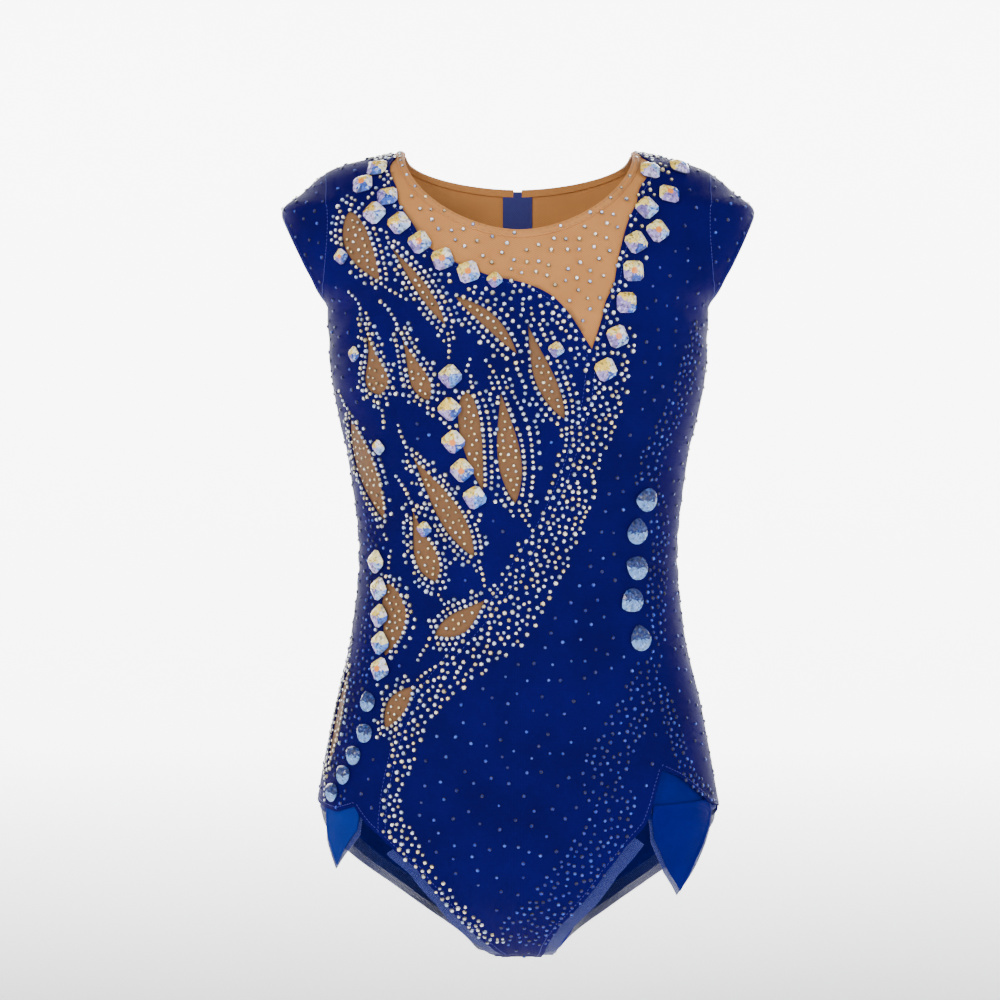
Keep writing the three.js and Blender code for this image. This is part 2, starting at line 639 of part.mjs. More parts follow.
const pearRows = {
  side: [[0.761, 273, 90], [0.715, 298, 0], [0.718, 326, 60], [0.68, 351, 120], [0.714, 381, 10]],
  hip: [[-0.812, 431, 30], [-0.8, 455, 60], [-0.84, 473, 60], [-0.875, 489, 55], [-0.918, 504, 60]],
};

function makeStones() {
  for (const [row, places] of Object.entries(squareRows)) {
    places.forEach(([share, drop, turn], i) => {
      const mesh = named(`square_stone_${row}_${i + 1}`, stoneGeometry(cushionShape(squareStone), stoneCrown),
        clearStone);
      bodyParts.push(placeStone(mesh, share, drop, turn, squareStone));
    });
  }
  for (const [row, places] of Object.entries(pearRows)) {
    const size = row === 'side' ? pearStone : hipStone;
    places.forEach(([share, drop, turn], i) => {
      const mesh = named(`pear_stone_${row}_${i + 1}`, stoneGeometry(pearShape(size), stoneCrown), blueStone);
      bodyParts.push(placeStone(mesh, share, drop, turn, size));
    });
  }
}

makeFront();
makeBack(1, 'left');
makeBack(-1, 'right');
makeSleeve(1, 'left');
makeSleeve(-1, 'right');
makeBinding();
makeBriefs();
makeHemNet(1, 'left');
makeHemNet(-1, 'right');

// Each tab's outline: x as a share of the half width at the tab's top, and the drop below it
const tabTop = -tabRow - tabGap;
const tabHalf = halfWidth(-tabTop);
const tabOutline = (points) => points.map(([share, drop]) => [share * tabHalf, tabTop - drop]);
makeTab(1, 'left', tabOutline([[0.6426, 0], [0.655, 15], [0.791, 61], [0.9392, 10], [0.9515, 0]]));
makeTab(-1, 'right', tabOutline([[0.7724, 0], [0.7847, 10], [0.828, 20], [0.8897, 41],
  [0.9392, 20], [0.9454, 0]]));
makeStones();

const leotard = new THREE.Group();
bodyParts.forEach((part) => leotard.add(part));
leotard.add(makeZip());

export default leotard;
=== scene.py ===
import math
import random

import bpy
import numpy as np
from mathutils import Matrix, Vector
from mathutils.geometry import delaunay_2d_cdt


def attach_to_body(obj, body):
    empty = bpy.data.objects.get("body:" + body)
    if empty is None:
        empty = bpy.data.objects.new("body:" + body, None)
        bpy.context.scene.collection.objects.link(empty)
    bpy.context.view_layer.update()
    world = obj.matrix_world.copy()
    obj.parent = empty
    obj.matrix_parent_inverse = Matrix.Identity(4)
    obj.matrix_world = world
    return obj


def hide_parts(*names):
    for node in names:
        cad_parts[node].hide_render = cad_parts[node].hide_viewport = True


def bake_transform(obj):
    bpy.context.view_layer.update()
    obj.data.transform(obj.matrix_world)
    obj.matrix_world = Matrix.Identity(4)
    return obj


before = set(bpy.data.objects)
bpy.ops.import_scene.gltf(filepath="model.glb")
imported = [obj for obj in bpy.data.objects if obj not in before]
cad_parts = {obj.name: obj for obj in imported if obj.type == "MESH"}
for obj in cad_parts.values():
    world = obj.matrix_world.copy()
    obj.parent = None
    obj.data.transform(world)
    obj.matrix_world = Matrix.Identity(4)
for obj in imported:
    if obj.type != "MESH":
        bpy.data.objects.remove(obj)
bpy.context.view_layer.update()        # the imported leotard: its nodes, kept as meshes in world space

# All in metres. The front faces -Y, +X is the wearer's left, and the origin is midway between the shoulders.

bodySize = {
    "capDrop": 0.046, "underarmDrop": 0.124, "waistDrop": 0.316, "hipDrop": 0.524, "crotchDrop": 0.642,
    "neckWidth": 0.180, "capSpan": 0.375, "chestWidth": 0.304, "waistWidth": 0.255, "hipWidth": 0.324,
    "crotchSpan": 0.272, "chestFront": 0.103, "waistFront": 0.084, "waistBack": 0.071,
    "hipFront": 0.096, "hipBack": 0.112, "roundness": 2.4, "underside": 0.010,
}
neckline = {"front": 0.065, "back": 0.024, "roundness": 1.8, "binding": 0.006}
zipSize = {
    "top": 0.031, "length": 0.176, "nape": 0.073, "lean": 0.11, "opening": 0.0064, "tape": 0.024,
    "columnStep": 12,
}
cloth = {"lycra": 0.0012, "net": 0.001, "gap": 0.0003, "sleeveInset": 0.0395}


def smoothThrough(keys, values, at):
    # a curve through rising keys without overshoot, as the body's sections use
    rise = [(values[i + 1] - values[i]) / (keys[i + 1] - keys[i]) for i in range(len(keys) - 1)]
    slope = [rise[0]]
    for i in range(1, len(rise)):
        product = rise[i - 1] * rise[i]
        slope.append(0.0 if product <= 0 else 2 * product / (rise[i - 1] + rise[i]))
    slope.append(rise[-1])
    at = np.clip(at, keys[0], keys[-1])
    i = np.clip(np.searchsorted(keys, at, side="right") - 1, 0, len(rise) - 1)
    keys, values, slope = np.array(keys), np.array(values), np.array(slope)
    width = keys[i + 1] - keys[i]
    t = (at - keys[i]) / width
    s = 1 - t
    return (values[i] * s * s * (1 + 2 * t) + values[i + 1] * t * t * (3 - 2 * t)
            + width * (slope[i] * t * s * s - slope[i + 1] * t * t * s))


def backLine(drop):
    return zipSize["nape"] + zipSize["lean"] * (drop - zipSize["top"])


def seatDrop(share):
    return bodySize["hipDrop"] + share * (bodySize["crotchDrop"] - bodySize["hipDrop"])


def bodyTables():
    b = bodySize
    neck, cap, chest, waist = b["neckWidth"] / 2, b["capSpan"] / 2, b["chestWidth"] / 2, b["waistWidth"] / 2
    hip, crotch, arm = b["hipWidth"] / 2, b["crotchSpan"] / 2, b["underarmDrop"]
    zipEnd = zipSize["top"] + zipSize["length"]
    sections = [  # drop, half width, depth in front, depth behind
        (-0.002, neck - 0.005, 0.042, backLine(-0.002)),
        (0, neck + 0.005, 0.048, backLine(0)),
        (0.004, neck + 0.024, 0.055, backLine(0.004)),
        (0.012, cap - 0.045, 0.063, backLine(0.012)),
        (0.020, cap - 0.030, 0.069, backLine(0.020)),
        (0.032, cap - 0.016, 0.076, backLine(0.032)),
        (b["capDrop"], cap, 0.083, backLine(b["capDrop"])),
        (arm - 0.048, cap - 0.002, 0.093, backLine(arm - 0.048)),
        (arm - 0.020, cap - 0.015, 0.099, backLine(arm - 0.020)),
        (arm, chest, b["chestFront"], backLine(arm)),
        (arm + 0.041, chest - 0.002, b["chestFront"] + 0.003, backLine(arm + 0.041)),
        (zipEnd + 0.010, chest - 0.011, b["chestFront"] - 0.005, backLine(zipEnd + 0.010)),
        (zipEnd + 0.030, chest - 0.016, b["chestFront"] - 0.009, backLine(zipEnd + 0.030)),
        (b["waistDrop"], waist, b["waistFront"], b["waistBack"]),
        (b["waistDrop"] + 0.064, waist + 0.005, b["waistFront"] + 0.004, b["waistBack"] + 0.010),
        (b["hipDrop"] - 0.080, hip - 0.015, b["hipFront"] - 0.003, b["hipBack"] - 0.012),
        (b["hipDrop"] - 0.014, hip - 0.002, b["hipFront"], b["hipBack"]),
        (seatDrop(0), hip, b["hipFront"], b["hipBack"]),
        (seatDrop(0.31), hip - 0.002, b["hipFront"] - 0.007, b["hipBack"] - 0.002),
        (seatDrop(0.52), hip - 0.006, b["hipFront"] - 0.017, b["hipBack"] - 0.008),
        (seatDrop(0.69), hip - 0.012, b["hipFront"] - 0.031, b["hipBack"] - 0.022),
        (seatDrop(0.85), crotch + 0.007, b["hipFront"] - 0.050, b["hipBack"] - 0.048),
        (seatDrop(0.95), crotch + 0.002, b["hipFront"] - 0.068, b["hipBack"] - 0.076),
        (seatDrop(1), crotch, 0.009, 0.012),
    ]
    keys = [section[0] for section in sections]
    drops = np.arange(-0.002, b["crotchDrop"] + b["underside"] + 1e-6, 0.00025)
    columns = [smoothThrough(keys, [s[i] for s in sections], drops) for i in (1, 2, 3)]
    below = np.clip((drops - b["crotchDrop"]) / b["underside"], 0, 1) * math.pi / 2
    columns[1] = columns[1] * np.cos(below)
    columns[2] = columns[2] * np.cos(below)
    heights = -np.minimum(drops, b["crotchDrop"]) - 0.002 * np.sin(below)
    steep = np.maximum.reduce([np.abs(np.gradient(c, drops)) for c in columns])
    run = np.concatenate([[0], np.cumsum(np.hypot(1, steep[1:]) * np.diff(drops))])
    return drops, columns[0], columns[1], columns[2], heights, run


dropTable, halfTable, frontTable, backTable, heightTable, runTable = bodyTables()
turnScale = 0.135  # metres of cloth to a radian round the body


def halfWidth(drop):
    return np.interp(drop, dropTable, halfTable)


# the zip lies in a flat strip of the back, a little inside the round of the body
zipShare = math.cos(math.radians(zipSize["columnStep"] / 2)) ** (2 / bodySize["roundness"])


foldSets = {  # where soft folds gather, how high they stand and how far apart
    "waist": {"drop": 0.322, "reach": 0.040, "height": 0.0007, "spacing": 0.019},
    "groin": {"drop": 0.560, "reach": 0.045, "height": 0.0005, "spacing": 0.026},
    "chest": {"drop": 0.135, "reach": 0.035, "height": 0.0006, "spacing": 0.021},
}
zipFlat = {"half": 0.014, "ease": 0.02, "dipHalf": 0.024, "dipEase": 0.012, "end": 0.25, "endEase": 0.03}


def gathers(name, drop, share, across):
    fold = foldSets[name]
    near = np.exp(-((drop - fold["drop"]) / fold["reach"]) ** 2) * np.clip(share, 0, 1)
    return fold["height"] * near * np.sin(across * 2 * np.pi / fold["spacing"])


def relief(turn, drop):
    # how far tension and soft folds lift the cloth
    x = np.sin(turn) * halfWidth(drop)
    side = np.abs(np.sin(turn))
    folds = gathers("waist", drop, side * 1.6 - 0.75, drop + 0.10 * x)
    folds += gathers("groin", drop, 1.3 - side * 1.3, x * 0.9 + np.abs(x) * 0.3 + drop * 0.35)
    folds += gathers("chest", drop, side * 2 - 1.1, np.abs(x) * 0.8 - drop * 0.7)
    band = np.exp(-((drop - 0.442 - 0.03 * x) / 0.0022) ** 2) * np.clip(np.cos(turn) * 2 - 1, 0, 1)
    folds -= 0.0004 * band  # the edge of the layer beneath shows as a faint line across the front
    slow = np.sin(x * 41 + 1.3) * np.sin(drop * 33 + 0.7) + 0.6 * np.sin(x * 73 - drop * 51)
    atBack = np.cos(turn) < 0
    calm = np.clip((np.abs(x) - zipFlat["half"]) / zipFlat["ease"], 0, 1)
    dip = np.clip((zipFlat["dipHalf"] - np.abs(x)) / zipFlat["dipEase"], 0, 1)
    dip = dip * np.clip((zipFlat["end"] - drop) / zipFlat["endEase"], 0, 1)
    depth = np.interp(drop, dropTable, backTable)
    lift = (folds + 0.0004 * slow) * np.where(atBack & (drop < zipFlat["end"]), calm, 1)
    return lift - (1 - zipShare) * depth * np.where(atBack, dip, 0)


def bulge(value):
    return np.sign(value) * np.abs(value) ** (2 / bodySize["roundness"])


def skin(turn, drop):
    before, behindIt = np.interp(drop, dropTable, frontTable), np.interp(drop, dropTable, backTable)
    depth = np.where(np.cos(turn) > 0, before, behindIt)
    return np.stack([bulge(np.sin(turn)) * halfWidth(drop), -bulge(np.cos(turn)) * depth,
                     np.interp(drop, dropTable, heightTable)], -1)


def surface(turn, drop, inset=0.0):
    # points on the body and their outward normals. turn is 0 in front, 90 degrees on the wearer's left
    turn = np.asarray(turn, float)
    drop = np.asarray(drop, float)
    across = skin(turn + 0.02, drop) - skin(turn - 0.02, drop)
    low = np.clip(drop + 0.0015, dropTable[0], dropTable[-1])
    high = np.clip(drop - 0.0015, dropTable[0], dropTable[-1])
    up = skin(turn, high) - skin(turn, low)
    normal = np.cross(across, up)
    normal /= np.linalg.norm(normal, axis=-1, keepdims=True) + 1e-12
    lift = relief(turn, drop) - np.asarray(inset, float)
    return skin(turn, drop) + normal * np.asarray(lift)[..., None], normal


def turnOf(share, back=False):
    angle = np.sign(share) * np.arcsin(np.minimum(np.abs(share), 1) ** (bodySize["roundness"] / 2))
    return np.where(back, np.sign(share) * np.pi - angle, angle)


def ridgeDrop(x):
    # the drop at which the shoulder seam is x from the middle
    rising = dropTable <= bodySize["capDrop"]
    return float(np.interp(x, halfTable[rising], dropTable[rising]))


def flat(points):
    # (turn, drop) to the plane in which a panel is cut
    points = np.asarray(points, float)
    return np.stack([points[:, 0] * turnScale, np.interp(points[:, 1], dropTable, runTable)], -1)


def unflat(points):
    points = np.asarray(points, float)
    return points[:, 0] / turnScale, np.interp(points[:, 1], runTable, dropTable)


def throughPoints(points, steps):
    # a uniform Catmull-Rom curve, sampled evenly over its spans
    points = np.asarray(points, float)
    padded = np.vstack([2 * points[0] - points[1], points, 2 * points[-1] - points[-2]])
    out = []
    for k in range(steps + 1):
        place = k / steps * (len(points) - 1)
        i = min(int(place), len(points) - 2)
        t = place - i
        a, b, c, d = padded[i:i + 4]
        out.append(0.5 * (2 * b + (c - a) * t + (2 * a - 5 * b + 4 * c - d) * t * t
                          + (3 * b - a - 3 * c + d) * t ** 3))
    return np.array(out)


def front(points):
    # (x or share, drop) pairs seen from the front become (turn, drop)
    points = np.asarray(points, float)
    return np.stack([turnOf(points[:, 0]), points[:, 1]], -1)


def behind(points):
    points = np.asarray(points, float)
    return np.stack([turnOf(points[:, 0], True), points[:, 1]], -1)


def shares(points):
    # distances from the middle become shares of the half width at their drop
    points = np.asarray(points, float)
    return np.stack([points[:, 0] / halfWidth(points[:, 1]), points[:, 1]], -1)


def low(share, part):
    return (share, seatDrop(part))


def dense(points, step=0.003):
    # cuts long sides of an outline in the cutting plane
    out = []
    for a, b in zip(points, np.roll(points, -1, axis=0)):
        count = max(1, int(math.ceil(np.linalg.norm(b - a) / step)))
        for k in range(count):
            out.append(a + (b - a) * k / count)
    return np.array(out)


def inside(points, loop):
    x, y = points[:, 0], points[:, 1]
    result = np.zeros(len(points), bool)
    for (x0, y0), (x1, y1) in zip(loop, np.roll(loop, -1, axis=0)):
        if y0 != y1:
            crosses = (y0 > y) != (y1 > y)
            result ^= crosses & (x < (x1 - x0) * (y - y0) / (y1 - y0) + x0)
    return result


def distanceTo(points, line, closed=True):
    ends = np.roll(line, -1, axis=0) if closed else line[1:]
    starts = line if closed else line[:-1]
    best = np.full(len(points), 1e9)
    for a, b in zip(starts, ends):
        side = b - a
        t = np.clip(((points - a) @ side) / max(float(side @ side), 1e-18), 0, 1)
        best = np.minimum(best, np.linalg.norm(points - a - t[:, None] * side, axis=1))
    return best


# Seam lines on the wearer's left, as (turn, drop)

def neckEdge(depth, grow, steps, back):
    half = bodySize["neckWidth"] / 2 + grow
    angles = np.linspace(0, math.pi / 2, steps + 1)
    power = 2 / neckline["roundness"]
    points = np.stack([half * np.cos(angles) ** power, (depth + grow) * np.sin(angles) ** power], -1)
    points = points[points[:, 0] < halfWidth(points[:, 1]) * 0.9999]
    ridge = np.array([[math.pi / 2, ridgeDrop(half)]])
    points = shares(points)
    return np.vstack([ridge, behind(points) if back else front(points)])


def mirrored(points):
    return np.asarray(points) * np.array([-1, 1])


def onSide(loop, side):
    # an outline drawn on the wearer's left, moved to the right when side is negative
    return loop if side > 0 else mirrored(loop)[::-1]


def ringFront(grow):
    half = neckEdge(neckline["front"], grow, 40, False)
    return np.vstack([half, mirrored(half)[::-1][1:]])


sleeveTop = bodySize["capSpan"] / 2 - cloth["sleeveInset"]
underarmX = float(halfWidth(bodySize["underarmDrop"])) - 0.0015
sleeveCurve = throughPoints([(sleeveTop, 0.006), (sleeveTop, 0.012), (sleeveTop - 0.003, 0.062),
                             (underarmX, bodySize["underarmDrop"])], 30)
sleeveCurve = sleeveCurve[sleeveCurve[:, 0] < halfWidth(sleeveCurve[:, 1])]
sleeveRidge = np.array([[math.pi / 2, ridgeDrop(sleeveTop)]])
sleeveFront = np.vstack([sleeveRidge, front(shares(sleeveCurve))])
sleeveBack = np.vstack([sleeveRidge, behind(shares(sleeveCurve))])

armLine = np.linspace((underarmX, bodySize["underarmDrop"]),
                      (bodySize["capSpan"] / 2 + 0.003, bodySize["capDrop"] - 0.002), 60)
armLine = armLine[armLine[:, 0] < halfWidth(armLine[:, 1])]
armTip = np.array([[math.pi / 2, armLine[-1][1]]])
armFront = np.vstack([front(shares(armLine)), armTip])
armBack = np.vstack([behind(shares(armLine)), armTip])


def fromRidge(x, points, steps):
    # a front seam that starts on the shoulder seam, x from the middle; points are (share, drop)
    start = [(np.sign(x) * 1.0, ridgeDrop(abs(x)))]
    curve = throughPoints(start + list(points), steps)
    return front(np.clip(curve, [-1, -1], [1, 1]))


def share(x, drop):
    return x / float(halfWidth(drop))


neckHalf = bodySize["neckWidth"] / 2
vPoint = (0.37, 0.157)
yokeRight = fromRidge(-neckHalf - 0.0085, [(share(-0.0975, 0.008), 0.008), (share(-0.095, 0.030), 0.030),
                      (-0.453, 0.055), (-0.362, 0.080), (-0.169, 0.098), (0.055, 0.108), (0.221, 0.124),
                      vPoint], 64)
yokeLeft = fromRidge(neckHalf + 0.0085, [(share(0.098, 0.006), 0.006), (share(0.092, 0.037), 0.037),
                     (0.421, 0.080), (0.431, 0.123), vPoint], 40)
sweepLine = throughPoints([vPoint, (0.339, 0.212), (0.197, 0.276), (-0.099, 0.344), (-0.451, 0.404),
                           (-0.6, 0.444), (-0.65, 0.490), low(-0.655, 0.095)], 90)
sweep = front(sweepLine)
backYokeCurve = throughPoints([(neckHalf + 0.023, 0.006), (neckHalf + 0.016, 0.044),
                               (neckHalf - 0.004, 0.086), (0.050, 0.114),
                               (zipSize["opening"] / 2, 0.126)], 40)
backYoke = np.vstack([[[math.pi / 2, ridgeDrop(neckHalf + 0.0233)]], behind(shares(backYokeCurve))])

hemRight = front([low(-1, -0.085), low(-0.883, -0.05), low(-0.799, -0.1), low(-0.722, 0.017),
                  low(-0.655, 0.095), low(-0.597, 0.17), low(-0.49, 0.297), low(-0.37, 0.52),
                  low(-0.259, 0.729), low(-0.16, 0.87), low(-0.098, 0.958)])
hemLeft = front([low(1, -0.02), low(0.938, -0.1), low(0.811, -0.288), low(0.721, -0.356), low(0.682, -0.237),
                 low(0.651, -0.127), low(0.607, 0), low(0.516, 0.136), low(0.425, 0.305), low(0.344, 0.483),
                 low(0.285, 0.585), low(0.222, 0.686), low(0.181, 0.788), low(0.158, 0.873),
                 low(0.141, 0.99)])
hemBacks = {}
for side, start in ((1, -0.02), (-1, -0.085)):  # each meets the front hem at its side seam
    rearHem = throughPoints([low(1, start), low(0.99, start + 0.085), low(0.93, 0.2), low(0.78, 0.46),
                             low(0.52, 0.74), low(0.27, 0.92), low(0.14, 1.02)], 40)
    hemBacks[side] = behind(rearHem)
lastDrop = dropTable[-1]
sideLeft = np.array([[math.pi / 2, bodySize["underarmDrop"]]])
sideRight = mirrored(sideLeft)
print("body and seam lines ready")


# Materials

def linear(hexColour):
    parts = [int(hexColour[i:i + 2], 16) / 255 for i in (1, 3, 5)]
    return [p / 12.92 if p <= 0.04045 else ((p + 0.055) / 1.055) ** 2.4 for p in parts] + [1.0]


def addNode(tree, kind, inputs=None, **settings):
    # an input is a value, a socket, or a node whose first output is meant
    node = tree.nodes.new(kind)
    for key, value in settings.items():
        setattr(node, key, value)
    for key, value in (inputs or {}).items():
        if isinstance(value, bpy.types.Node):
            value = value.outputs[0]
        if isinstance(value, bpy.types.NodeSocket):
            tree.links.new(value, node.inputs[key])
        else:
            node.inputs[key].default_value = value
    return node


def newMaterial(name, **values):
    material = bpy.data.materials.new(name)
    material.use_nodes = True
    tree = material.node_tree
    shader = tree.nodes["Principled BSDF"]
    for key, value in values.items():
        shader.inputs[key.replace("_", " ")].default_value = value
    return material, tree, shader


def link(tree, output, node, name):
    tree.links.new(output, node.inputs[name])


def clothSteps(tree, spacing):
    # counts threads across and along the cloth
    place = addNode(tree, "ShaderNodeUVMap", uv_map="cloth")
    scaled = addNode(tree, "ShaderNodeVectorMath", {0: place, "Scale": 1 / spacing}, operation="SCALE")
    parts = addNode(tree, "ShaderNodeSeparateXYZ", {0: scaled})
    return parts.outputs[0], parts.outputs[1]


cloudy = {"Detail": 3.0, "Roughness": 0.55}


def bodyPlace(tree):
    # where a point lies in the piece's own frame, in metres
    return addNode(tree, "ShaderNodeTexCoord").outputs["Object"]


def knitMaterial(name, face, shade, stitch, sheen):
    # nylon and elastane tricot: a close warp knit whose ribs give a soft satin bloom at grazing angles
    material, tree, shader = newMaterial(name, Roughness=0.58, Sheen_Weight=sheen, Sheen_Roughness=0.38,
                                         Specular_IOR_Level=0.03)
    shader.inputs["Sheen Tint"].default_value = linear("#5a6cff")
    across, along = clothSteps(tree, stitch)
    row = addNode(tree, "ShaderNodeMath", {0: across, 1: math.pi}, operation="MULTIPLY")
    rib = addNode(tree, "ShaderNodeMath", {0: row}, operation="SINE")
    rib = addNode(tree, "ShaderNodeMath", {0: rib}, operation="ABSOLUTE")
    bend = addNode(tree, "ShaderNodeMath", {0: rib, 1: 2.2}, operation="MULTIPLY")
    wave = addNode(tree, "ShaderNodeMath", {0: along, 1: 2 * math.pi, 2: bend}, operation="MULTIPLY_ADD")
    wave = addNode(tree, "ShaderNodeMath", {0: wave}, operation="SINE")
    loop = addNode(tree, "ShaderNodeMath", {0: wave, 1: 0.5, 2: 0.5}, operation="MULTIPLY_ADD")
    height = addNode(tree, "ShaderNodeMath", {0: rib, 1: loop}, operation="MULTIPLY")
    noise = addNode(tree, "ShaderNodeTexNoise", {"Vector": bodyPlace(tree), "Scale": 1 / 0.045} | cloudy)
    patches = addNode(tree, "ShaderNodeMapRange", {"Value": noise, "From Min": 0.3, "From Max": 0.7})
    base = addNode(tree, "ShaderNodeMix", {0: patches, 6: linear(face), 7: linear(shade)}, data_type="RGBA")
    # painted shade: where the bump sinks between the knit loops, the colour is darkened towards near-black
    # blue
    depth = addNode(tree, "ShaderNodeMath", {0: height, 1: 0.35}, operation="MULTIPLY")
    dark = addNode(tree, "ShaderNodeMix", {0: depth, 6: base.outputs[2], 7: linear("#020030")},
                   data_type="RGBA")
    link(tree, dark.outputs[2], shader, "Base Color")
    bump = addNode(tree, "ShaderNodeBump", {"Height": height, "Distance": 0.0002, "Strength": 0.55},
                   invert=True)
    link(tree, bump.outputs[0], shader, "Normal")
    return material


def netMaterial(name, thread, hole, spacing, open_, windowShadeColour=None):
    # power net: fine nylon threads round diamond holes, which let through a little or a lot of what is behind
    material, tree, shader = newMaterial(name, Roughness=0.68, Sheen_Weight=0.15, Specular_IOR_Level=0.3)
    across, along = clothSteps(tree, spacing)
    slants = []
    for way in ("ADD", "SUBTRACT"):
        slant = addNode(tree, "ShaderNodeMath", {0: across, 1: along}, operation=way)
        slant = addNode(tree, "ShaderNodeMath", {0: slant, 1: math.pi}, operation="MULTIPLY")
        slant = addNode(tree, "ShaderNodeMath", {0: slant}, operation="SINE")
        slants.append(addNode(tree, "ShaderNodeMath", {0: slant}, operation="ABSOLUTE"))
    gap = addNode(tree, "ShaderNodeMath", {0: slants[0], 1: slants[1]}, operation="MULTIPLY")
    noise = addNode(tree, "ShaderNodeTexNoise", {"Vector": bodyPlace(tree), "Scale": 1 / 0.03} | cloudy)
    patches = addNode(tree, "ShaderNodeMapRange", {"Value": noise, "From Min": 0.25, "From Max": 0.75,
                                                   "To Min": 0.0, "To Max": 0.35})
    base = addNode(tree, "ShaderNodeMix", {0: patches, 6: linear(thread), 7: linear(hole)}, data_type="RGBA")
    depth = addNode(tree, "ShaderNodeMath", {0: gap, 1: 0.55}, operation="MULTIPLY")
    tone = addNode(tree, "ShaderNodeMix", {0: depth, 6: base.outputs[2], 7: linear(hole)}, data_type="RGBA")
    # painted shade: where the net lies under the appliqué and shows through its windows, it is painted a
    # darker brown
    if windowShadeColour:
        windowShadeMask = addNode(tree, "ShaderNodeAttribute", attribute_name="underLycra").outputs["Fac"]
        tone = addNode(tree, "ShaderNodeMix", {0: windowShadeMask, 6: tone.outputs[2], 7: linear(windowShadeColour)},
                       data_type="RGBA")
    link(tree, tone.outputs[2], shader, "Base Color")
    if open_ > 0:
        alpha = addNode(tree, "ShaderNodeMapRange", {"Value": gap, "From Min": 0.15, "From Max": 0.8,
                                                     "To Min": 1.0, "To Max": 1 - open_})
        link(tree, alpha.outputs[0], shader, "Alpha")
    bump = addNode(tree, "ShaderNodeBump", {"Height": gap, "Distance": 0.00015, "Strength": 0.5}, invert=True)
    link(tree, bump.outputs[0], shader, "Normal")
    return material


def facetMaterial(name, roughness, coat, glow, shine=0.35):
    # lead-free crystal with a foiled back: each facet keeps one clear tint, which carries painted reflections
    # and shade, and a hard polish
    material, tree, shader = newMaterial(name, Roughness=roughness, IOR=1.56, Coat_Weight=coat,
                                         Coat_Roughness=0.03, Specular_IOR_Level=shine)
    tint = addNode(tree, "ShaderNodeAttribute", attribute_name="facetTint")
    noise = addNode(tree, "ShaderNodeTexNoise", {"Vector": bodyPlace(tree), "Scale": 1 / 0.002,
                                                 "Detail": 1.0, "Roughness": 0.55})
    grain = addNode(tree, "ShaderNodeMapRange", {"Value": noise, "From Min": 0.3, "From Max": 0.7,
                                                 "To Min": 0.0, "To Max": 0.05})
    mixed = addNode(tree, "ShaderNodeMix", {0: grain, 6: tint.outputs["Color"], 7: linear("#ffffff")},
                    data_type="RGBA")
    tone = mixed.outputs[2]
    link(tree, tone, shader, "Base Color")
    link(tree, tone, shader, "Emission Color")  # painted glow: the emission stands in for the room's light that the foil throws back through the facets
    shader.inputs["Emission Strength"].default_value = glow
    return material


def threadMaterial(name, colour):
    # spun polyester thread: a two-ply twist with a dull shine
    material, tree, shader = newMaterial(name, Roughness=0.55, Sheen_Weight=0.2)
    twist = addNode(tree, "ShaderNodeTexWave",
                    {"Vector": bodyPlace(tree), "Scale": 900.0, "Distortion": 2.0},
                    bands_direction="DIAGONAL")
    # painted shade: the grooves of the twist are darkened towards dark brown
    plyShade = addNode(tree, "ShaderNodeMath", {0: twist.outputs["Fac"], 1: 0.3}, operation="MULTIPLY")
    tone = addNode(tree, "ShaderNodeMix", {0: plyShade, 6: linear(colour), 7: linear("#1a1208")},
                   data_type="RGBA")
    link(tree, tone.outputs[2], shader, "Base Color")
    return material


# knit loops are about 0.5 mm and net holes about 1 mm: both are drawn coarser, so that they show
blueKnit = knitMaterial("blueLycraKnit", "#10005a", "#0d004c", 0.0011, 0.0)
innerKnit = knitMaterial("blueBriefsKnit", "#081270", "#060e62", 0.0011, 0.04)
nudeNet = netMaterial("nudePowerNet", "#cb8a4a", "#a2672f", 0.0016, 0.0, "#7b5636")
sheerNet = netMaterial("sheerBlueNet", "#1c2878", "#141d60", 0.0019, 0.5)
cottonJersey = netMaterial("cottonJerseyLining", "#d9cdbd", "#c3b49f", 0.0012, 0.0)
clearCrystal = facetMaterial("iridescentCrystal", 0.12, 0.15, 0.12)
blueCrystal = facetMaterial("sapphireCrystal", 0.14, 0.08, 0.03, 0.2)
smallCrystal = facetMaterial("hotfixCrystal", 0.2, 0.15, 0.42)
smallSapphire = facetMaterial("hotfixSapphire", 0.35, 0.0, 0.2, 0.12)
nudeThread = threadMaterial("nudeStitchThread", "#a87440")
blueThread = threadMaterial("blueStitchThread", "#1c2ca0")
print("materials ready")


# Cloth pieces

def pieceName(node):
    # the CAD node's name in camel case, so that both can stay in one file
    first, *rest = node.split("_")
    return first + "".join(word.capitalize() for word in rest)


def meshObject(name, vertices, faces, material, uv=None, sharp=35):
    name = pieceName(name)
    mesh = bpy.data.meshes.new(name)
    mesh.from_pydata([tuple(v) for v in vertices], [], [tuple(int(i) for i in f) for f in faces])
    if uv is not None:
        layer = mesh.uv_layers.new(name="cloth")
        index = np.empty(len(mesh.loops), np.int32)
        mesh.loops.foreach_get("vertex_index", index)
        layer.data.foreach_set("uv", np.asarray(uv, np.float32)[index].ravel())
    mesh.materials.append(material)
    mesh.polygons.foreach_set("use_smooth", [True] * len(mesh.polygons))
    if sharp:
        mesh.set_sharp_from_angle(angle=math.radians(sharp))
    mesh.validate()
    mesh.update()
    piece = bpy.data.objects.new(name, mesh)
    bpy.context.scene.collection.objects.link(piece)
    return piece


def hexGrid(lowest, highest, step):
    rows = []
    for k, y in enumerate(np.arange(lowest[1], highest[1], step * 0.866)):
        xs = np.arange(lowest[0] + (k % 2) * step / 2, highest[0], step)
        rows.append(np.stack([xs, np.full(len(xs), y)], -1))
    return np.vstack(rows)


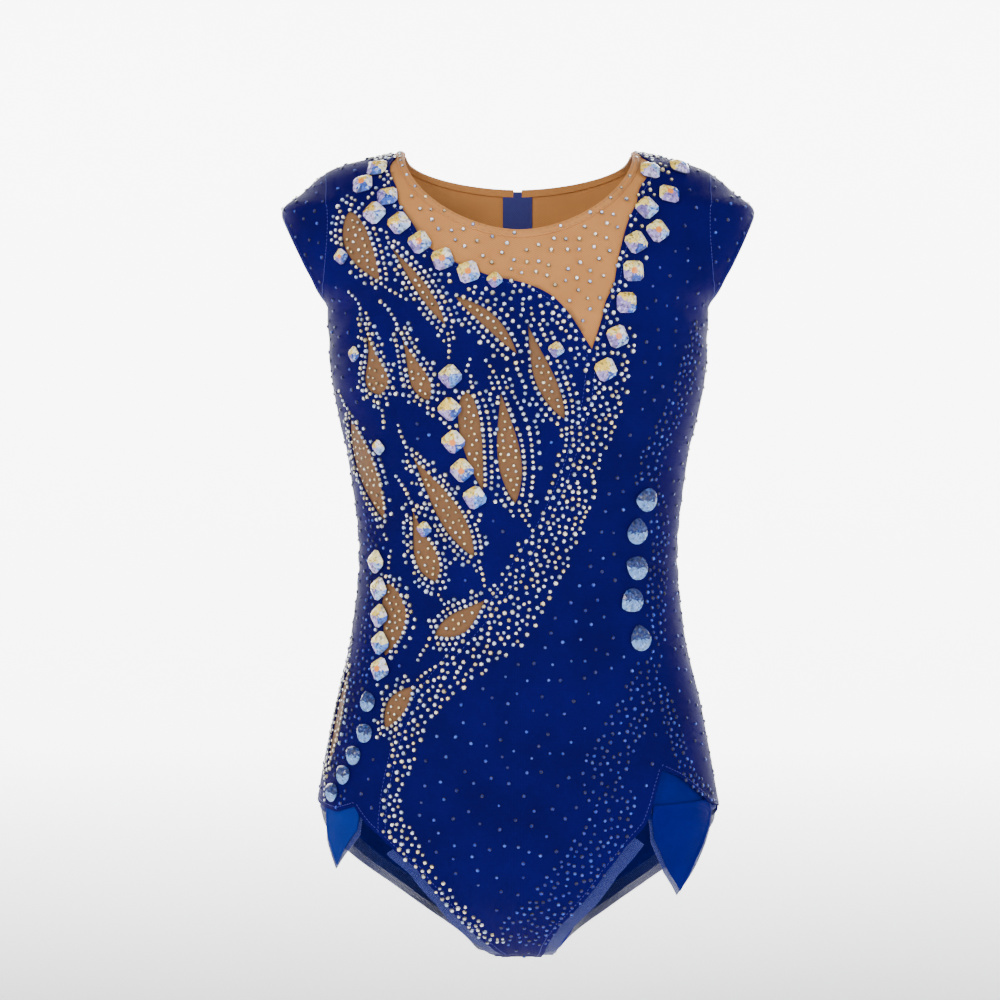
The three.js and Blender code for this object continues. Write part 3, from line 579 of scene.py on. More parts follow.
def cutCloth(outline, holes=(), step=0.005, seam=0.0):
    # triangles of a panel in the cutting plane, with two rows of points along its seam allowance
    loops = [dense(flat(outline))] + [dense(flat(hole), 0.0022) for hole in holes]
    grid = hexGrid(loops[0].min(0), loops[0].max(0), step)
    keep = inside(grid, loops[0])
    for loop in loops:
        keep &= distanceTo(grid, loop) > step * 0.45
    for hole in loops[1:]:
        keep &= ~inside(grid, hole)
    grid = grid[keep]
    extra = []
    if seam > 0:
        near = distanceTo(grid, loops[0])
        grid = grid[np.abs(near - seam) > step * 0.4]
        tangent = np.roll(loops[0], -1, axis=0) - np.roll(loops[0], 1, axis=0)
        tangent /= np.linalg.norm(tangent, axis=1, keepdims=True) + 1e-12
        for reach in (seam - 0.0004, seam + 0.0004):
            for sign in (1, -1):
                row = loops[0] + sign * reach * np.stack([-tangent[:, 1], tangent[:, 0]], -1)
                good = inside(row, loops[0]) & (distanceTo(row, loops[0]) > reach * 0.93)
                for hole in loops[1:]:
                    good &= ~inside(row, hole) & (distanceTo(row, hole) > 0.001)
                extra.append(row[good])
    points = np.vstack(loops + [grid] + extra)
    edges, start = [], 0
    for loop in loops:
        edges += [(start + k, start + (k + 1) % len(loop)) for k in range(len(loop))]
        start += len(loop)
    result = delaunay_2d_cdt([Vector(p) for p in points], edges, [], 0, 1e-7)
    vertices = np.array([tuple(v) for v in result[0]])
    triangles = np.array(result[2])
    middle = vertices[triangles].mean(1)
    keep = inside(middle, loops[0])
    for hole in loops[1:]:
        keep &= ~inside(middle, hole)
    return vertices, triangles[keep], loops


def clothPiece(name, material, outlines, holes=(), inset=0.0, thick=0.001, step=0.005, seam=0.0, crown=0.0):
    # a closed sheet: outer face, inner face and edges
    # seam is the width of a turned edge, crown rounds a narrow band
    points, faces, uv, area, wide, long = [], [], [], 0.0, 0.0, 0.0
    for outline in outlines:
        vertices, triangles, loops = cutCloth(outline, holes, step, seam)
        used = np.unique(triangles)
        order = np.full(len(vertices), -1)
        order[used] = np.arange(len(used))
        vertices, triangles = vertices[used], order[triangles]
        turn, drop = unflat(vertices)
        near = distanceTo(vertices, loops[0])
        lift = 0.00028 * np.clip((seam + 0.0004 - near) / 0.0008, 0, 1) if seam else np.zeros(len(vertices))
        if crown:
            lift = crown * (np.sqrt(1 - (1 - np.clip(near / 0.003, 0, 1)) ** 2) - 0.6)
        outer, normal = surface(turn, drop, inset - lift)
        inner = surface(turn, drop, inset + thick)[0]
        a, b, c = outer[triangles[:, 0]], outer[triangles[:, 1]], outer[triangles[:, 2]]
        if np.sum(np.cross(b - a, c - a) * normal[triangles[:, 0]]) < 0:
            triangles = triangles[:, ::-1]
        count, start = len(vertices), sum(len(p) for p in points)
        edges = {(int(t[i]), int(t[(i + 1) % 3])) for t in triangles for i in range(3)}
        rim = [(q, p, p + count, q + count) for p, q in edges if (q, p) not in edges]
        flats = [tuple(t) for t in triangles] + [tuple(t + count) for t in triangles[:, ::-1]] + rim
        faces += [tuple(int(i) + start for i in face) for face in flats]
        points += [outer, inner]
        uv += [vertices, vertices]
        area += 0.5 * float(np.linalg.norm(np.cross(b - a, c - a), axis=1).sum())
        wide = max(wide, float(np.ptp(vertices[:, 0])))
        long += float(np.ptp(vertices[:, 1]))
    piece = meshObject(name, np.vstack(points), faces, material, np.vstack(uv), 50)
    piece["cutArea"], piece["cutWide"], piece["cutLong"] = area, wide, long
    return piece


def attach(piece, body, node=None):
    # body is None for a piece that is attached to no body
    if body:
        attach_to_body(piece, body)
    if node:
        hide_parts(node)


def finishCloth(piece, node, rests, body="garment"):
    attach(piece, body, node)
    rests = [pieceName(other) for other in rests]


def leaf(spec):
    # a leaf between two tips, given as (share, drop)
    # its width, its sideways bend, and where along it is widest
    (fromShare, fromDrop), (toShare, toDrop), width, bend, belly = spec
    start = np.array([fromShare * float(halfWidth(fromDrop)), fromDrop])
    end = np.array([toShare * float(halfWidth(toDrop)), toDrop])
    across = np.array([end[1] - start[1], start[0] - end[0]]) / np.linalg.norm(end - start)
    t = np.linspace(0, 1, 26)[:, None]
    swell = np.abs(np.sin(np.pi * t ** (math.log(0.5) / math.log(belly)))) ** 0.8
    arch = np.sin(np.pi * t) * bend
    near = start + (end - start) * t + across * (arch + swell * width / 2)
    far = start + (end - start) * t + across * (arch - swell * width / 2)
    return front(shares(np.vstack([near, far[::-1][1:-1]])))


leaves = [leaf(spec) for spec in [
    ((-0.70, 0.050), (-0.62, 0.104), 0.021, -0.004, 0.42),
    ((-0.53, 0.078), (-0.37, 0.138), 0.009, 0.001, 0.6),
    ((-0.31, 0.116), (-0.01, 0.160), 0.011, 0.004, 0.5),
    ((-0.80, 0.128), (-0.735, 0.192), 0.019, 0.001, 0.82),
    ((-0.61, 0.140), (-0.475, 0.196), 0.015, -0.001, 0.75),
    ((-0.275, 0.189), (-0.21, 0.265), 0.017, -0.002, 0.35),
    ((-0.095, 0.189), (-0.02, 0.275), 0.018, 0.0, 0.6), ((0.045, 0.138), (0.245, 0.210), 0.015, -0.003, 0.6),
    ((-0.925, 0.210), (-0.81, 0.290), 0.016, -0.001, 0.5),
    ((-0.61, 0.238), (-0.27, 0.316), 0.018, 0.001, 0.62),
    ((-0.64, 0.274), (-0.50, 0.336), 0.018, -0.002, 0.72),
    ((-0.79, 0.338), (-0.775, 0.395), 0.020, 0.006, 0.4),
    ((-0.2, 0.349), (-0.49, 0.377), 0.017, 0.003, 0.6), ((-0.59, 0.417), (-0.70, 0.450), 0.015, -0.002, 0.5),
    ((-0.975, 0.405), (-0.970, 0.490), 0.006, 0.0, 0.5),
]]

neckGrow = neckline["binding"] - 0.002  # the cloth is tucked into the folded binding
zipHalf = zipSize["opening"] / 2
zipEnd = zipSize["top"] + zipSize["length"]


def zipEdge(fromDrop, toDrop):
    drops = np.linspace(fromDrop, toDrop, 30)
    return behind(shares(np.stack([np.full(len(drops), zipHalf), drops], -1)))


def shifted(line, reach):
    # a front seam moved sideways, without what leaves the front
    share = bulge(np.sin(line[:, 0])) + reach / halfWidth(line[:, 1])
    keep = np.abs(share) < 0.9999
    return front(np.stack([share[keep], line[keep, 1]], -1))


def hemShift(points, reachX, reachDrop):
    # hem points on the wearer's left, moved in x and drop, as (share, drop)
    x = bulge(np.sin(points[:, 0])) * halfWidth(points[:, 1])
    drop = np.minimum(points[:, 1] + reachDrop, lastDrop)
    return shares(np.stack([x + reachX, drop], -1))


underFront = [(-0.098, bodySize["crotchDrop"]), (-0.098, lastDrop), (0.141, lastDrop),
              (0.141, bodySize["crotchDrop"])]
frontLoop = np.vstack([yokeLeft, sweep[1:], hemRight[5:], front(underFront), hemLeft[::-1], sideLeft,
                       sleeveFront[::-1]])
frontPanel = clothPiece("front_panel", blueKnit, [frontLoop], thick=cloth["lycra"], seam=0.005)
finishCloth(frontPanel, "front_panel", ["front_net_base", "briefs_layer"])

appliqueLoop = np.vstack([yokeRight, sweep[1:], hemRight[:4][::-1], sideRight, mirrored(sleeveFront)[::-1]])
applique = clothPiece("front_applique", blueKnit, [appliqueLoop], leaves, thick=cloth["lycra"], seam=0.004)
finishCloth(applique, "front_applique", ["front_net_base", "briefs_layer"])

netInset = cloth["lycra"] + cloth["gap"]
baseEnd = sweep[-13]
baseLoop = np.vstack([ringFront(neckGrow), mirrored(sleeveFront), sideRight, [[-math.pi / 2, baseEnd[1]]],
                      shifted(sweep[1:-12], 0.006)[::-1], shifted(yokeLeft, 0.006)[::-1],
                      [[math.pi / 2, ridgeDrop(neckHalf + 0.0145)]]])
netBase = clothPiece("front_net_base", nudeNet, [baseLoop], inset=netInset, thick=cloth["net"])
# painted shade: points of the net base under the appliqué are marked for the darker window colour
windowShadeMask = netBase.data.attributes.new("underLycra", "FLOAT", "POINT")
corners = np.empty(len(netBase.data.vertices) * 3)
netBase.data.vertices.foreach_get("co", corners)
corners = corners.reshape(-1, 3)
baseDrop = np.clip(-corners[:, 2], 0, 0.64)
baseTurn = turnOf(np.clip(corners[:, 0] / halfWidth(baseDrop), -1, 1))
covered = inside(flat(np.stack([baseTurn, baseDrop], -1)), flat(appliqueLoop))
windowShadeMask.data.foreach_set("value", covered.astype(np.float32))
finishCloth(netBase, "front_net_base", [])

ringBack = neckEdge(neckline["back"], neckGrow, 40, True)
ringBack = ringBack[np.abs(np.sin(ringBack[:, 0])) ** (1 / 1.2) * halfWidth(ringBack[:, 1]) > zipHalf]
yokeLoop = np.vstack([ringBack, zipEdge(ringBack[-1][1] + 0.0005, 0.1255), backYoke[::-1][1:]])
panelLoops = {side: np.vstack([backYoke[:-1], zipEdge(0.1265, zipEnd),
                               [[math.pi, zipEnd + 0.002], [math.pi, lastDrop]],
                               behind([(0.14, lastDrop), (0.14, bodySize["crotchDrop"] + 0.003)]),
                               hemBacks[side][::-1], sideLeft, sleeveBack[::-1]]) for side in (1, -1)}
sleeveLoop = np.vstack([sleeveFront, armFront[1:], armBack[::-1][1:], sleeveBack[::-1][1:-1]])
for side, word in ((1, "left"), (-1, "right")):
    yoke = clothPiece(f"back_yoke_{word}", nudeNet, [onSide(yokeLoop, side)], thick=cloth["lycra"],
                      seam=0.004)
    finishCloth(yoke, f"back_yoke_{word}", ["zip_tape"])
    panel = clothPiece(f"back_panel_{word}", blueKnit, [onSide(panelLoops[side], side)], thick=cloth["lycra"],
                       seam=0.005)
    finishCloth(panel, f"back_panel_{word}", ["briefs_layer"])
    sleeve = clothPiece(f"cap_sleeve_{word}", blueKnit, [onSide(sleeveLoop, side)], thick=cloth["lycra"],
                        step=0.004, seam=0.005)
    finishCloth(sleeve, f"cap_sleeve_{word}", [f"back_panel_{word}"])
print("blue panels, net base, back and sleeves ready")


def neckRing(grow):
    rear = neckEdge(neckline["back"], grow, 60, True)
    rear = rear[np.abs(np.sin(rear[:, 0])) ** (1 / 1.2) * halfWidth(rear[:, 1]) > zipHalf]
    return np.vstack([rear[::-1], ringFront(grow)[1:], mirrored(rear)[1:]])


binding = clothPiece("neck_binding", nudeNet,
                     [np.vstack([neckRing(0.0), neckRing(neckline["binding"])[::-1]])],
                     thick=0.0024, step=0.0018, crown=0.0007)
finishCloth(binding, "neck_binding", ["front_net_base", "back_yoke_left", "back_yoke_right"])

briefsCut = {"rise": 0.054, "legIn": 0.004, "legUp": 0.005}
linerWidth = 0.034
briefsInset = netInset + cloth["net"] + cloth["gap"]
briefsTop = bodySize["hipDrop"] - briefsCut["rise"]
legRight = front([low(-1, -0.03), low(-0.72, -0.03), low(-0.47, 0.27), low(-0.25, 0.7), low(-0.165, 1)])
legLeft = front([low(1, -0.03), low(0.62, -0.03), low(0.53, 0.16), low(0.325, 0.585), low(0.175, 1)])
legBack = behind(hemShift(hemBacks[-1], -briefsCut["legIn"], -briefsCut["legUp"]))
legBack = np.vstack([[[math.pi / 2, hemBacks[-1][0][1] - briefsCut["legUp"]]], legBack[1:]])
briefsFront = np.vstack([[[-math.pi / 2, briefsTop]], legRight,
                         front([(-0.165, lastDrop), (0.175, lastDrop)]),
                         legLeft[::-1], [[math.pi / 2, briefsTop]]])
briefsBack = np.vstack([[[math.pi / 2, briefsTop]], legBack, behind([(0.14, lastDrop)]),
                        [[math.pi, lastDrop]],
                        [[math.pi, briefsTop]]])
briefs = clothPiece("briefs_layer", innerKnit, [briefsFront, briefsBack, mirrored(briefsBack)[::-1]],
                    inset=briefsInset,
                    thick=cloth["lycra"], seam=0.004)
finishCloth(briefs, "briefs", [])
linerHalf = linerWidth / 2 / float(halfWidth(bodySize["crotchDrop"] - 0.03))
linerSide = [(linerHalf, seatDrop(0.55)), (linerHalf, bodySize["crotchDrop"]), (linerHalf, lastDrop)]
linerFront = np.vstack([front(linerSide), mirrored(front(linerSide))[::-1]])
linerBack = np.vstack([behind(linerSide), [[math.pi, lastDrop], [math.pi, seatDrop(0.55)]]])
liner = clothPiece("crotch_liner", cottonJersey, [linerFront, linerBack, mirrored(linerBack)[::-1]],
                   inset=briefsInset + cloth["lycra"] + cloth["gap"], thick=cloth["net"])
finishCloth(liner, "crotch_liner", ["briefs_layer"])

hemNet = {"under": 0.006, "showLeft": 0.009, "showRight": 0.007, "showBack": 0.006, "strip": 0.015}
for side, word in ((1, "left"), (-1, "right")):
    under = -hemNet["under"]
    if side > 0:
        hem = np.vstack([front([low(0.55, 0.09)]), hemLeft[8:]])
        show = hemNet["showLeft"]
    else:
        hem = mirrored(hemRight[5:])
        show = hemNet["showRight"]
    endX = float(bulge(np.sin(hem[-1][0])) * halfWidth(hem[-1][1])) / float(halfWidth(bodySize["crotchDrop"]))
    reach = hemNet["under"] / float(halfWidth(bodySize["crotchDrop"]))
    tip = [(endX - reach, lastDrop), (endX + reach * 1.3, lastDrop)]
    frontStrip = np.vstack([front(hemShift(hem, under, under)), front(tip),
                            front(hemShift(hem, show, show * 0.6))[::-1]])
    rear = hemBacks[side][5:]
    grown = np.clip(np.arange(len(rear)) / 9, 0.02, 1)  # it comes out from under the hem little by little
    out = hemNet["showBack"] * grown
    backStrip = np.vstack([behind(hemShift(rear, under, under)), behind([(0.10, lastDrop), (0.17, lastDrop)]),
                           behind(hemShift(rear, out, out / 2))[::-1]])
    strips = [onSide(strip, side) for strip in (frontStrip, backStrip)]
    edging = clothPiece(f"hem_net_{word}", sheerNet, strips, inset=netInset, thick=cloth["net"], step=0.004)
    finishCloth(edging, f"hem_net_{word}", ["front_panel", f"back_panel_{word}"])
print("binding, briefs, liner and hem nets ready")


# Hip tabs: pointed pieces that hang from the hem

tabTop = seatDrop(-0.03) + 0.0005
tabCut = {"rise": 0.011, "thick": 0.0009, "netGrow": 0.004, "bendAbove": 0.004, "bendBelow": 0.006}
tabKnit = knitMaterial("tabLycraKnit", "#060a6e", "#050862", 0.0011, 0.04)
# painted light: the right tab's knit is a lighter copy of the tab knit
litTabKnit = knitMaterial("singleLayerLycra", "#0c2a8a", "#0a2278", 0.0011, 0.06)
tabs = {  # points are (x, distance below the sewn edge)
    "left": {"side": 1, "knit": tabKnit, "sewnTo": "front_panel",
             "shape": [(0.104, 0.0), (0.106, 0.015), (0.117, 0.041), (0.128, 0.061), (0.140, 0.037),
                       (0.152, 0.010), (0.154, 0.0)]},
    "right": {"side": -1, "knit": litTabKnit, "sewnTo": "front_applique",
              "shape": [(0.125, 0.0), (0.127, 0.010), (0.134, 0.020), (0.144, 0.041), (0.152, 0.020),
                        (0.153, 0.0)]},
}
for word, spec in tabs.items():
    shape = np.array(spec["shape"])
    middle = (shape[0][0] + shape[-1][0]) / 2
    for kind, grow, inset, material, slot in (
            ("", 0.0, netInset, spec["knit"], "blue_lycra"),
            ("_net", tabCut["netGrow"], netInset + cloth["net"] + cloth["gap"], sheerNet, "sheer_net")):
        wider = shape + np.stack([np.sign(shape[:, 0] - middle) * grow / 2,
                                  np.where(shape[:, 1] > 0, grow, 0)], -1)
        drops = np.concatenate([[-tabCut["rise"]], wider[:, 1], [-tabCut["rise"]]]) + tabTop
        across = np.concatenate([[wider[0][0] + 0.001], wider[:, 0], [wider[-1][0] - 0.001]])
        loop = onSide(front(shares(np.stack([across, drops], -1))), spec["side"])
        name = f"hip_tab{kind}_{word}"
        tab = clothPiece(name, material, [loop], inset=inset, thick=tabCut["thick"], step=0.003,
                         seam=0 if kind else 0.003)
        hinge = surface(loop[:, 0].mean(), tabTop, inset)[0]
        finishCloth(tab, name, [spec["sewnTo"]], body=None)
        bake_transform(tab)
print("hip tabs ready")


# Zip: woven tape, coil teeth, slider and pull, in a frame of their own

zipPlace = (Matrix.Translation((0, zipShare * backLine(zipSize["top"]), -zipSize["top"]))
            @ Matrix.Rotation(math.atan(zipShare * zipSize["lean"]), 4, "X"))


def tapeMaterial():
    # woven polyester zip tape: a flat herringbone with a faint shine
    material, tree, shader = newMaterial("polyesterZipTape", Roughness=0.6, Sheen_Weight=0.2)
    weave = addNode(tree, "ShaderNodeTexWave",
                    {"Vector": bodyPlace(tree), "Scale": 330.0, "Distortion": 1.0},
                    bands_direction="DIAGONAL")
    tone = addNode(tree, "ShaderNodeMix",
                   {0: weave.outputs["Fac"], 6: linear("#10155e"), 7: linear("#1b2280")},
                   data_type="RGBA")
    link(tree, tone.outputs[2], shader, "Base Color")
    bump = addNode(tree, "ShaderNodeBump",
                   {"Height": weave.outputs["Fac"], "Distance": 0.0001, "Strength": 0.5})
    link(tree, bump.outputs[0], shader, "Normal")
    return material


def enamelMaterial():
    # die-cast zinc sprayed with blue enamel: glossy, with small scratches that soften the highlight
    material, tree, shader = newMaterial("blueEnamelledZinc", Metallic=0.15, Coat_Weight=0.5,
                                         Coat_Roughness=0.12)
    fine = addNode(tree, "ShaderNodeTexNoise", {"Vector": bodyPlace(tree), "Scale": 1 / 0.0015,
                                                "Detail": 6.0, "Roughness": 0.55})
    marks = addNode(tree, "ShaderNodeMapRange", {"Value": fine, "To Min": 0.22, "To Max": 0.45})
    link(tree, marks.outputs[0], shader, "Roughness")
    noise = addNode(tree, "ShaderNodeTexNoise", {"Vector": bodyPlace(tree), "Scale": 1 / 0.004} | cloudy)
    tone = addNode(tree, "ShaderNodeMix", {0: noise, 6: linear("#141a6b"), 7: linear("#10155a")},
                   data_type="RGBA")
    link(tree, tone.outputs[2], shader, "Base Color")
    return material


def coilMaterial():
    # monofilament nylon coil, dyed navy: smooth with a plastic gleam
    material, tree, shader = newMaterial("nylonCoil", Roughness=0.35, IOR=1.53)
    noise = addNode(tree, "ShaderNodeTexNoise", {"Vector": bodyPlace(tree), "Scale": 1 / 0.003} | cloudy)
    tone = addNode(tree, "ShaderNodeMix", {0: noise, 6: linear("#141a6c"), 7: linear("#0f1456")},
                   data_type="RGBA")
    link(tree, tone.outputs[2], shader, "Base Color")
    return material


enamelledZinc = enamelMaterial()


def zipPiece(name, vertices, faces, material, sharp=35):
    moved = [zipPlace @ Vector(v) for v in vertices]
    return meshObject(name, moved, faces, material, None, sharp)


def ringSides(count, pairs):
    # quads between rings of the same number of points
    return [(a * count + i, a * count + (i + 1) % count, b * count + (i + 1) % count, b * count + i)
            for a, b in pairs for i in range(count)]


def plate(outline, low, high, bevel):
    # an outline (x, z) with rounded edges, between two heights
    points = np.asarray(outline, float)
    middle = points.mean(0)
    inner = middle + (points - middle) * (1 - bevel / np.abs(points - middle).max())
    rings = [(inner, low), (points, low + bevel), (points, high - bevel), (inner, high)]
    vertices = [(x, y, z) for ring, y in rings for x, z in ring]
    count = len(points)
    faces = ringSides(count, ((0, 1), (1, 2), (2, 3)))
    faces += [tuple(range(count))[::-1], tuple(range(3 * count, 4 * count))]
    return vertices, faces


def joined(parts):
    vertices, faces = [], []
    for more, sides in parts:
        faces += [tuple(i + len(vertices) for i in side) for side in sides]
        vertices += list(more)
    return vertices, faces


def rounded(halfX, fromZ, toZ, corner, steps=5):
    points = []
    for centreX, centreZ, start in ((halfX - corner, toZ - corner, 0), (-halfX + corner, toZ - corner, 90),
                                    (-halfX + corner, fromZ + corner, 180),
                                    (halfX - corner, fromZ + corner, 270)):
        for k in range(steps):
            angle = math.radians(start + 90 * k / (steps - 1))
            points.append((centreX + corner * math.cos(angle), centreZ + corner * math.sin(angle)))
    return points


tapeEnd = {"below": 0.008, "above": 0.0055, "corner": 0.0015}
tapeShape = rounded(zipSize["tape"] / 2, -zipSize["length"] - tapeEnd["below"], tapeEnd["above"],
                    tapeEnd["corner"])
tape = zipPiece("zip_tape", *plate(tapeShape, -0.0024, -0.0016, 0.0002), tapeMaterial())
attach(tape, "garment", "zip_tape")

coil = {"pitch": 0.0014, "half": 0.0014, "wire": 0.0012, "aside": 0.0009, "low": -0.0011, "high": 0.00065}
teeth = []
for k in range(int((zipSize["length"] - 0.003) / coil["pitch"])):
    z = -0.002 - k * coil["pitch"]
    aside = coil["aside"] if k % 2 else -coil["aside"]
    tooth = rounded(coil["half"], z - coil["wire"] / 2, z + coil["wire"] / 2, 0.0005, 4)
    teeth.append(plate([(x + aside, y) for x, y in tooth], coil["low"], coil["high"], 0.0004))
chain = zipPiece("zip_chain", *joined(teeth), coilMaterial(), 40)
attach(chain, "garment", "zip_chain")

sliderShape = [(-0.0046, -0.0005), (-0.0036, -0.0001), (0.0036, -0.0001), (0.0046, -0.0005),
               (0.0046, -0.0045),
               (0.0038, -0.0085), (0.0031, -0.0119), (-0.0031, -0.0119), (-0.0038, -0.0085),
               (-0.0046, -0.0045)]
upper = plate(sliderShape, 0.0011, 0.0021, 0.0003)
flangeLeft = plate([(x * 0.10 + 0.0039, z) for x, z in sliderShape], 0.00035, 0.0012, 0.0001)
flangeRight = plate([(x * 0.10 - 0.0039, z) for x, z in sliderShape], 0.00035, 0.0012, 0.0001)
bridge = []
for half in (-0.0009, 0.0009):
    bridge += [(half, 0.0019, -0.0023), (half, 0.0050, -0.0033), (half, 0.0050, -0.0087),
               (half, 0.0019, -0.0097),
               (half, 0.0019, -0.0083), (half, 0.0041, -0.0080), (half, 0.0041, -0.0040),
               (half, 0.0019, -0.0037)]
bridgeFaces = [(i, (i + 1) % 8, (i + 1) % 8 + 8, i + 8) for i in range(8)]
bridgeFaces += [(0, 7, 6, 1), (1, 6, 5, 2), (2, 5, 4, 3), (8, 9, 14, 15), (9, 10, 13, 14), (10, 11, 12, 13)]
slider = zipPiece("zip_slider", *joined([upper, flangeLeft, flangeRight, (bridge, bridgeFaces)]),
                  enamelledZinc)
attach(slider, "zip_slider", "zip_slider")


def frameWithEye(outer, inner, low, high, bevel):
    # a plate with a window: both outlines have the same number of points
    outer, inner = np.asarray(outer, float), np.asarray(inner, float)
    centre, eye = outer.mean(0), inner.mean(0)
    smaller = centre + (outer - centre) * (1 - bevel / np.abs(outer - centre).max())
    larger = eye + (inner - eye) * (1 + bevel / np.abs(inner - eye).max())
    rings = [(outer, low + bevel), (outer, high - bevel), (smaller, high), (larger, high),
             (inner, high - bevel), (inner, low + bevel), (larger, low), (smaller, low)]
    vertices = [(x, y, z) for ring, y in rings for x, z in ring]
    return vertices, ringSides(len(outer), [(k, (k + 1) % len(rings)) for k in range(len(rings))])


pullTop = -0.0065
pullOutline = rounded(0.0034, pullTop - 0.026, pullTop, 0.0016, 6)
pullEye = rounded(0.0021, pullTop - 0.0062, pullTop - 0.001, 0.0006, 6)
pull = zipPiece("zip_pull", *frameWithEye(pullOutline, pullEye, 0.0026, 0.0036, 0.0002), enamelledZinc)
attach(pull, "zip_pull", "zip_pull")
print("zip ready")


# Stones

def stoneFrame(turn, drop, spin):
    place, normal = surface(turn, drop)
    ahead = surface(turn, drop - 0.002)[0]
    up = ahead - place
    side = np.cross(up, normal)
    side /= np.linalg.norm(side)
    up = np.cross(normal, side)
    cos, sin = math.cos(spin), math.sin(spin)
    return place, side * cos + up * sin, up * cos - side * sin, normal


def tinted(name, vertices, faces, tints, material):
    piece = meshObject(name, vertices, faces, material, None, 0)
    piece.data.polygons.foreach_set("use_smooth", [False] * len(piece.data.polygons))
    layer = piece.data.color_attributes.new("facetTint", "FLOAT_COLOR", "CORNER")
    values = np.repeat(np.asarray(tints, np.float32), [len(face) for face in faces], axis=0)
    layer.data.foreach_set("color", values.ravel())
    return piece


def cushion(size):
    out = []
    count, corner = 16, 5.0  # sides of the outline, and how square it is
    for k in range(count):
        angle = 2 * math.pi * (k + 0.5) / count
        cos, sin = math.cos(angle), math.sin(angle)
        reach = size / 2 / (abs(cos) ** corner + abs(sin) ** corner) ** (1 / corner)
        out.append((reach * cos, reach * sin))
    return np.array(out)


def pear(size):
    out = []
    count = 18
    for k in range(count):
        angle = 2 * math.pi * (k + 0.5) / count + math.pi / 2
        height = math.sin(angle)
        waist = math.cos(angle) * (1 - 0.42 * max(height, 0) ** 1.6)
        out.append((size * 0.46 * waist, size * (0.54 if height > 0 else 0.46) * height))
    return np.array(out)


def gem(outline, rise):
    # girdle, three rows of crown facets and a table broken into star facets
    count = len(outline)
    half = np.roll(outline, -1, axis=0) * 0.5 + outline * 0.5
    rings = [(outline * 0.93, 0.0002), (outline, 0.0008), (outline, 0.0016),
             (half * 0.80, 0.0016 + rise * 0.55), (outline * 0.56, 0.0016 + rise * 0.92),
             (half * 0.30, 0.0016 + rise * 0.96)]
    vertices = [(x, y, z) for ring, z in rings for x, y in ring]
    vertices.append((0, 0, 0.0016 + rise))
    faces = [tuple(range(count))[::-1]] + ringSides(count, ((0, 1), (1, 2)))
    for k in (2, 3, 4):
        shift = 1 if k == 3 else 0
        for i in range(count):
            near, next_ = k * count + i, k * count + (i + 1) % count
            above = (k + 1) * count + (i + shift) % count
            before = (k + 1) * count + (i + shift - 1) % count
            faces += [(near, next_, above), (near, above, before)]
    centre = 6 * count
    faces += [(5 * count + i, 5 * count + (i + 1) % count, centre) for i in range(count)]
    return np.array(vertices), faces


def stone(name, cut, shareX, drop, spin, node):
    dice = random.Random(name)
    outline = cut["shape"](cut["size"])
    vertices, faces = gem(outline, cut["rise"])
    place, side, up, normal = stoneFrame(turnOf(np.array(shareX)), drop, spin)
    spots = place + vertices[:, :1] * side + vertices[:, 1:2] * up + vertices[:, 2:] * normal
    reach = float(np.linalg.norm(outline, axis=1).max())
    shift = (dice.uniform(-0.25, 0.25), dice.uniform(-0.2, 0.2)) + tuple(dice.random() for _ in range(5))
    cos, sin = math.cos(spin) / reach, math.sin(spin) / reach
    tints = []
    for face in faces:
        x, y, height = vertices[list(face)].mean(0)
        tints.append(cut["pick"](dice, x * cos - y * sin, x * sin + y * cos, height, shift))
    attach(tinted(name, spots, faces, tints, cut["crystal"]), "garment", node)
    stoneSpots.append((float(turnOf(np.array(shareX))), drop, cut.get("clear", cut["size"] * 0.56)))


stoneSpots = []  # turn, drop and the room that each stone takes up
# yellow, white, lavender and blue quarters: the coating's colours, laid out as painted reflections that keep
# to the body's frame however a stone is turned
quadrants = [["#f8d04a", "#eebb2a", "#fff0a0", "#ffe27a"], ["#fffcea", "#fff0b0", "#f1eaff"],
             ["#8b72c6", "#ab96dc", "#7564b4", "#cabdee"], ["#1f56c8", "#5590ee", "#143fa8", "#a4c4f8"]]
# painted reflection: pale blues for a pear's lower half, dark slate for its upper half
sapphire = [["#6d9ce0", "#9cc0f4", "#4f80cc", "#6494e0"], ["#122a6a", "#1e3c86", "#0d2052", "#3054a0"]]


def shaded(dice, colours, lead, dark):
    # brilliance: a quarter's facets share one tint, and a few are darkened as a painted reflection of the
    # dark room
    colour = np.array(linear(lead if dice.random() < 0.65 else dice.choice(colours)))
    factor = dice.choice((1.0, 1.0, 1.0, 0.85, 0.7, dark))
    colour[:3] = np.minimum(colour[:3] * factor, 1.0)
    return colour


def squareTint(dice, x, y, height, shift):
    # painted shade: the base and girdle facets are dark
    if height < 0.0014:
        return np.array(linear("#2c2f56"))
    if math.hypot(x, y) < 0.28 and shift[2] < 0.45:
        return np.array(linear("#ee8424"))
    x, y = x + shift[0] + dice.uniform(-0.08, 0.08), y + shift[1] + dice.uniform(-0.08, 0.08)
    which = (0 if x < 0.25 else 1) if y > 0 else (2 if x < 0.1 else 3)
    colours = quadrants[which]
    return shaded(dice, colours, colours[int(shift[3 + which] * len(colours))], 0.35)


def pearTint(dice, x, y, height, shift):
    # painted shade: the base and girdle facets are dark
    if height < 0.0014:
        return np.array(linear("#1c2f6c"))
    part = sapphire[1 if y + dice.uniform(-0.12, 0.12) > -0.02 else 0]
    return shaded(dice, part, part[0], 0.5)


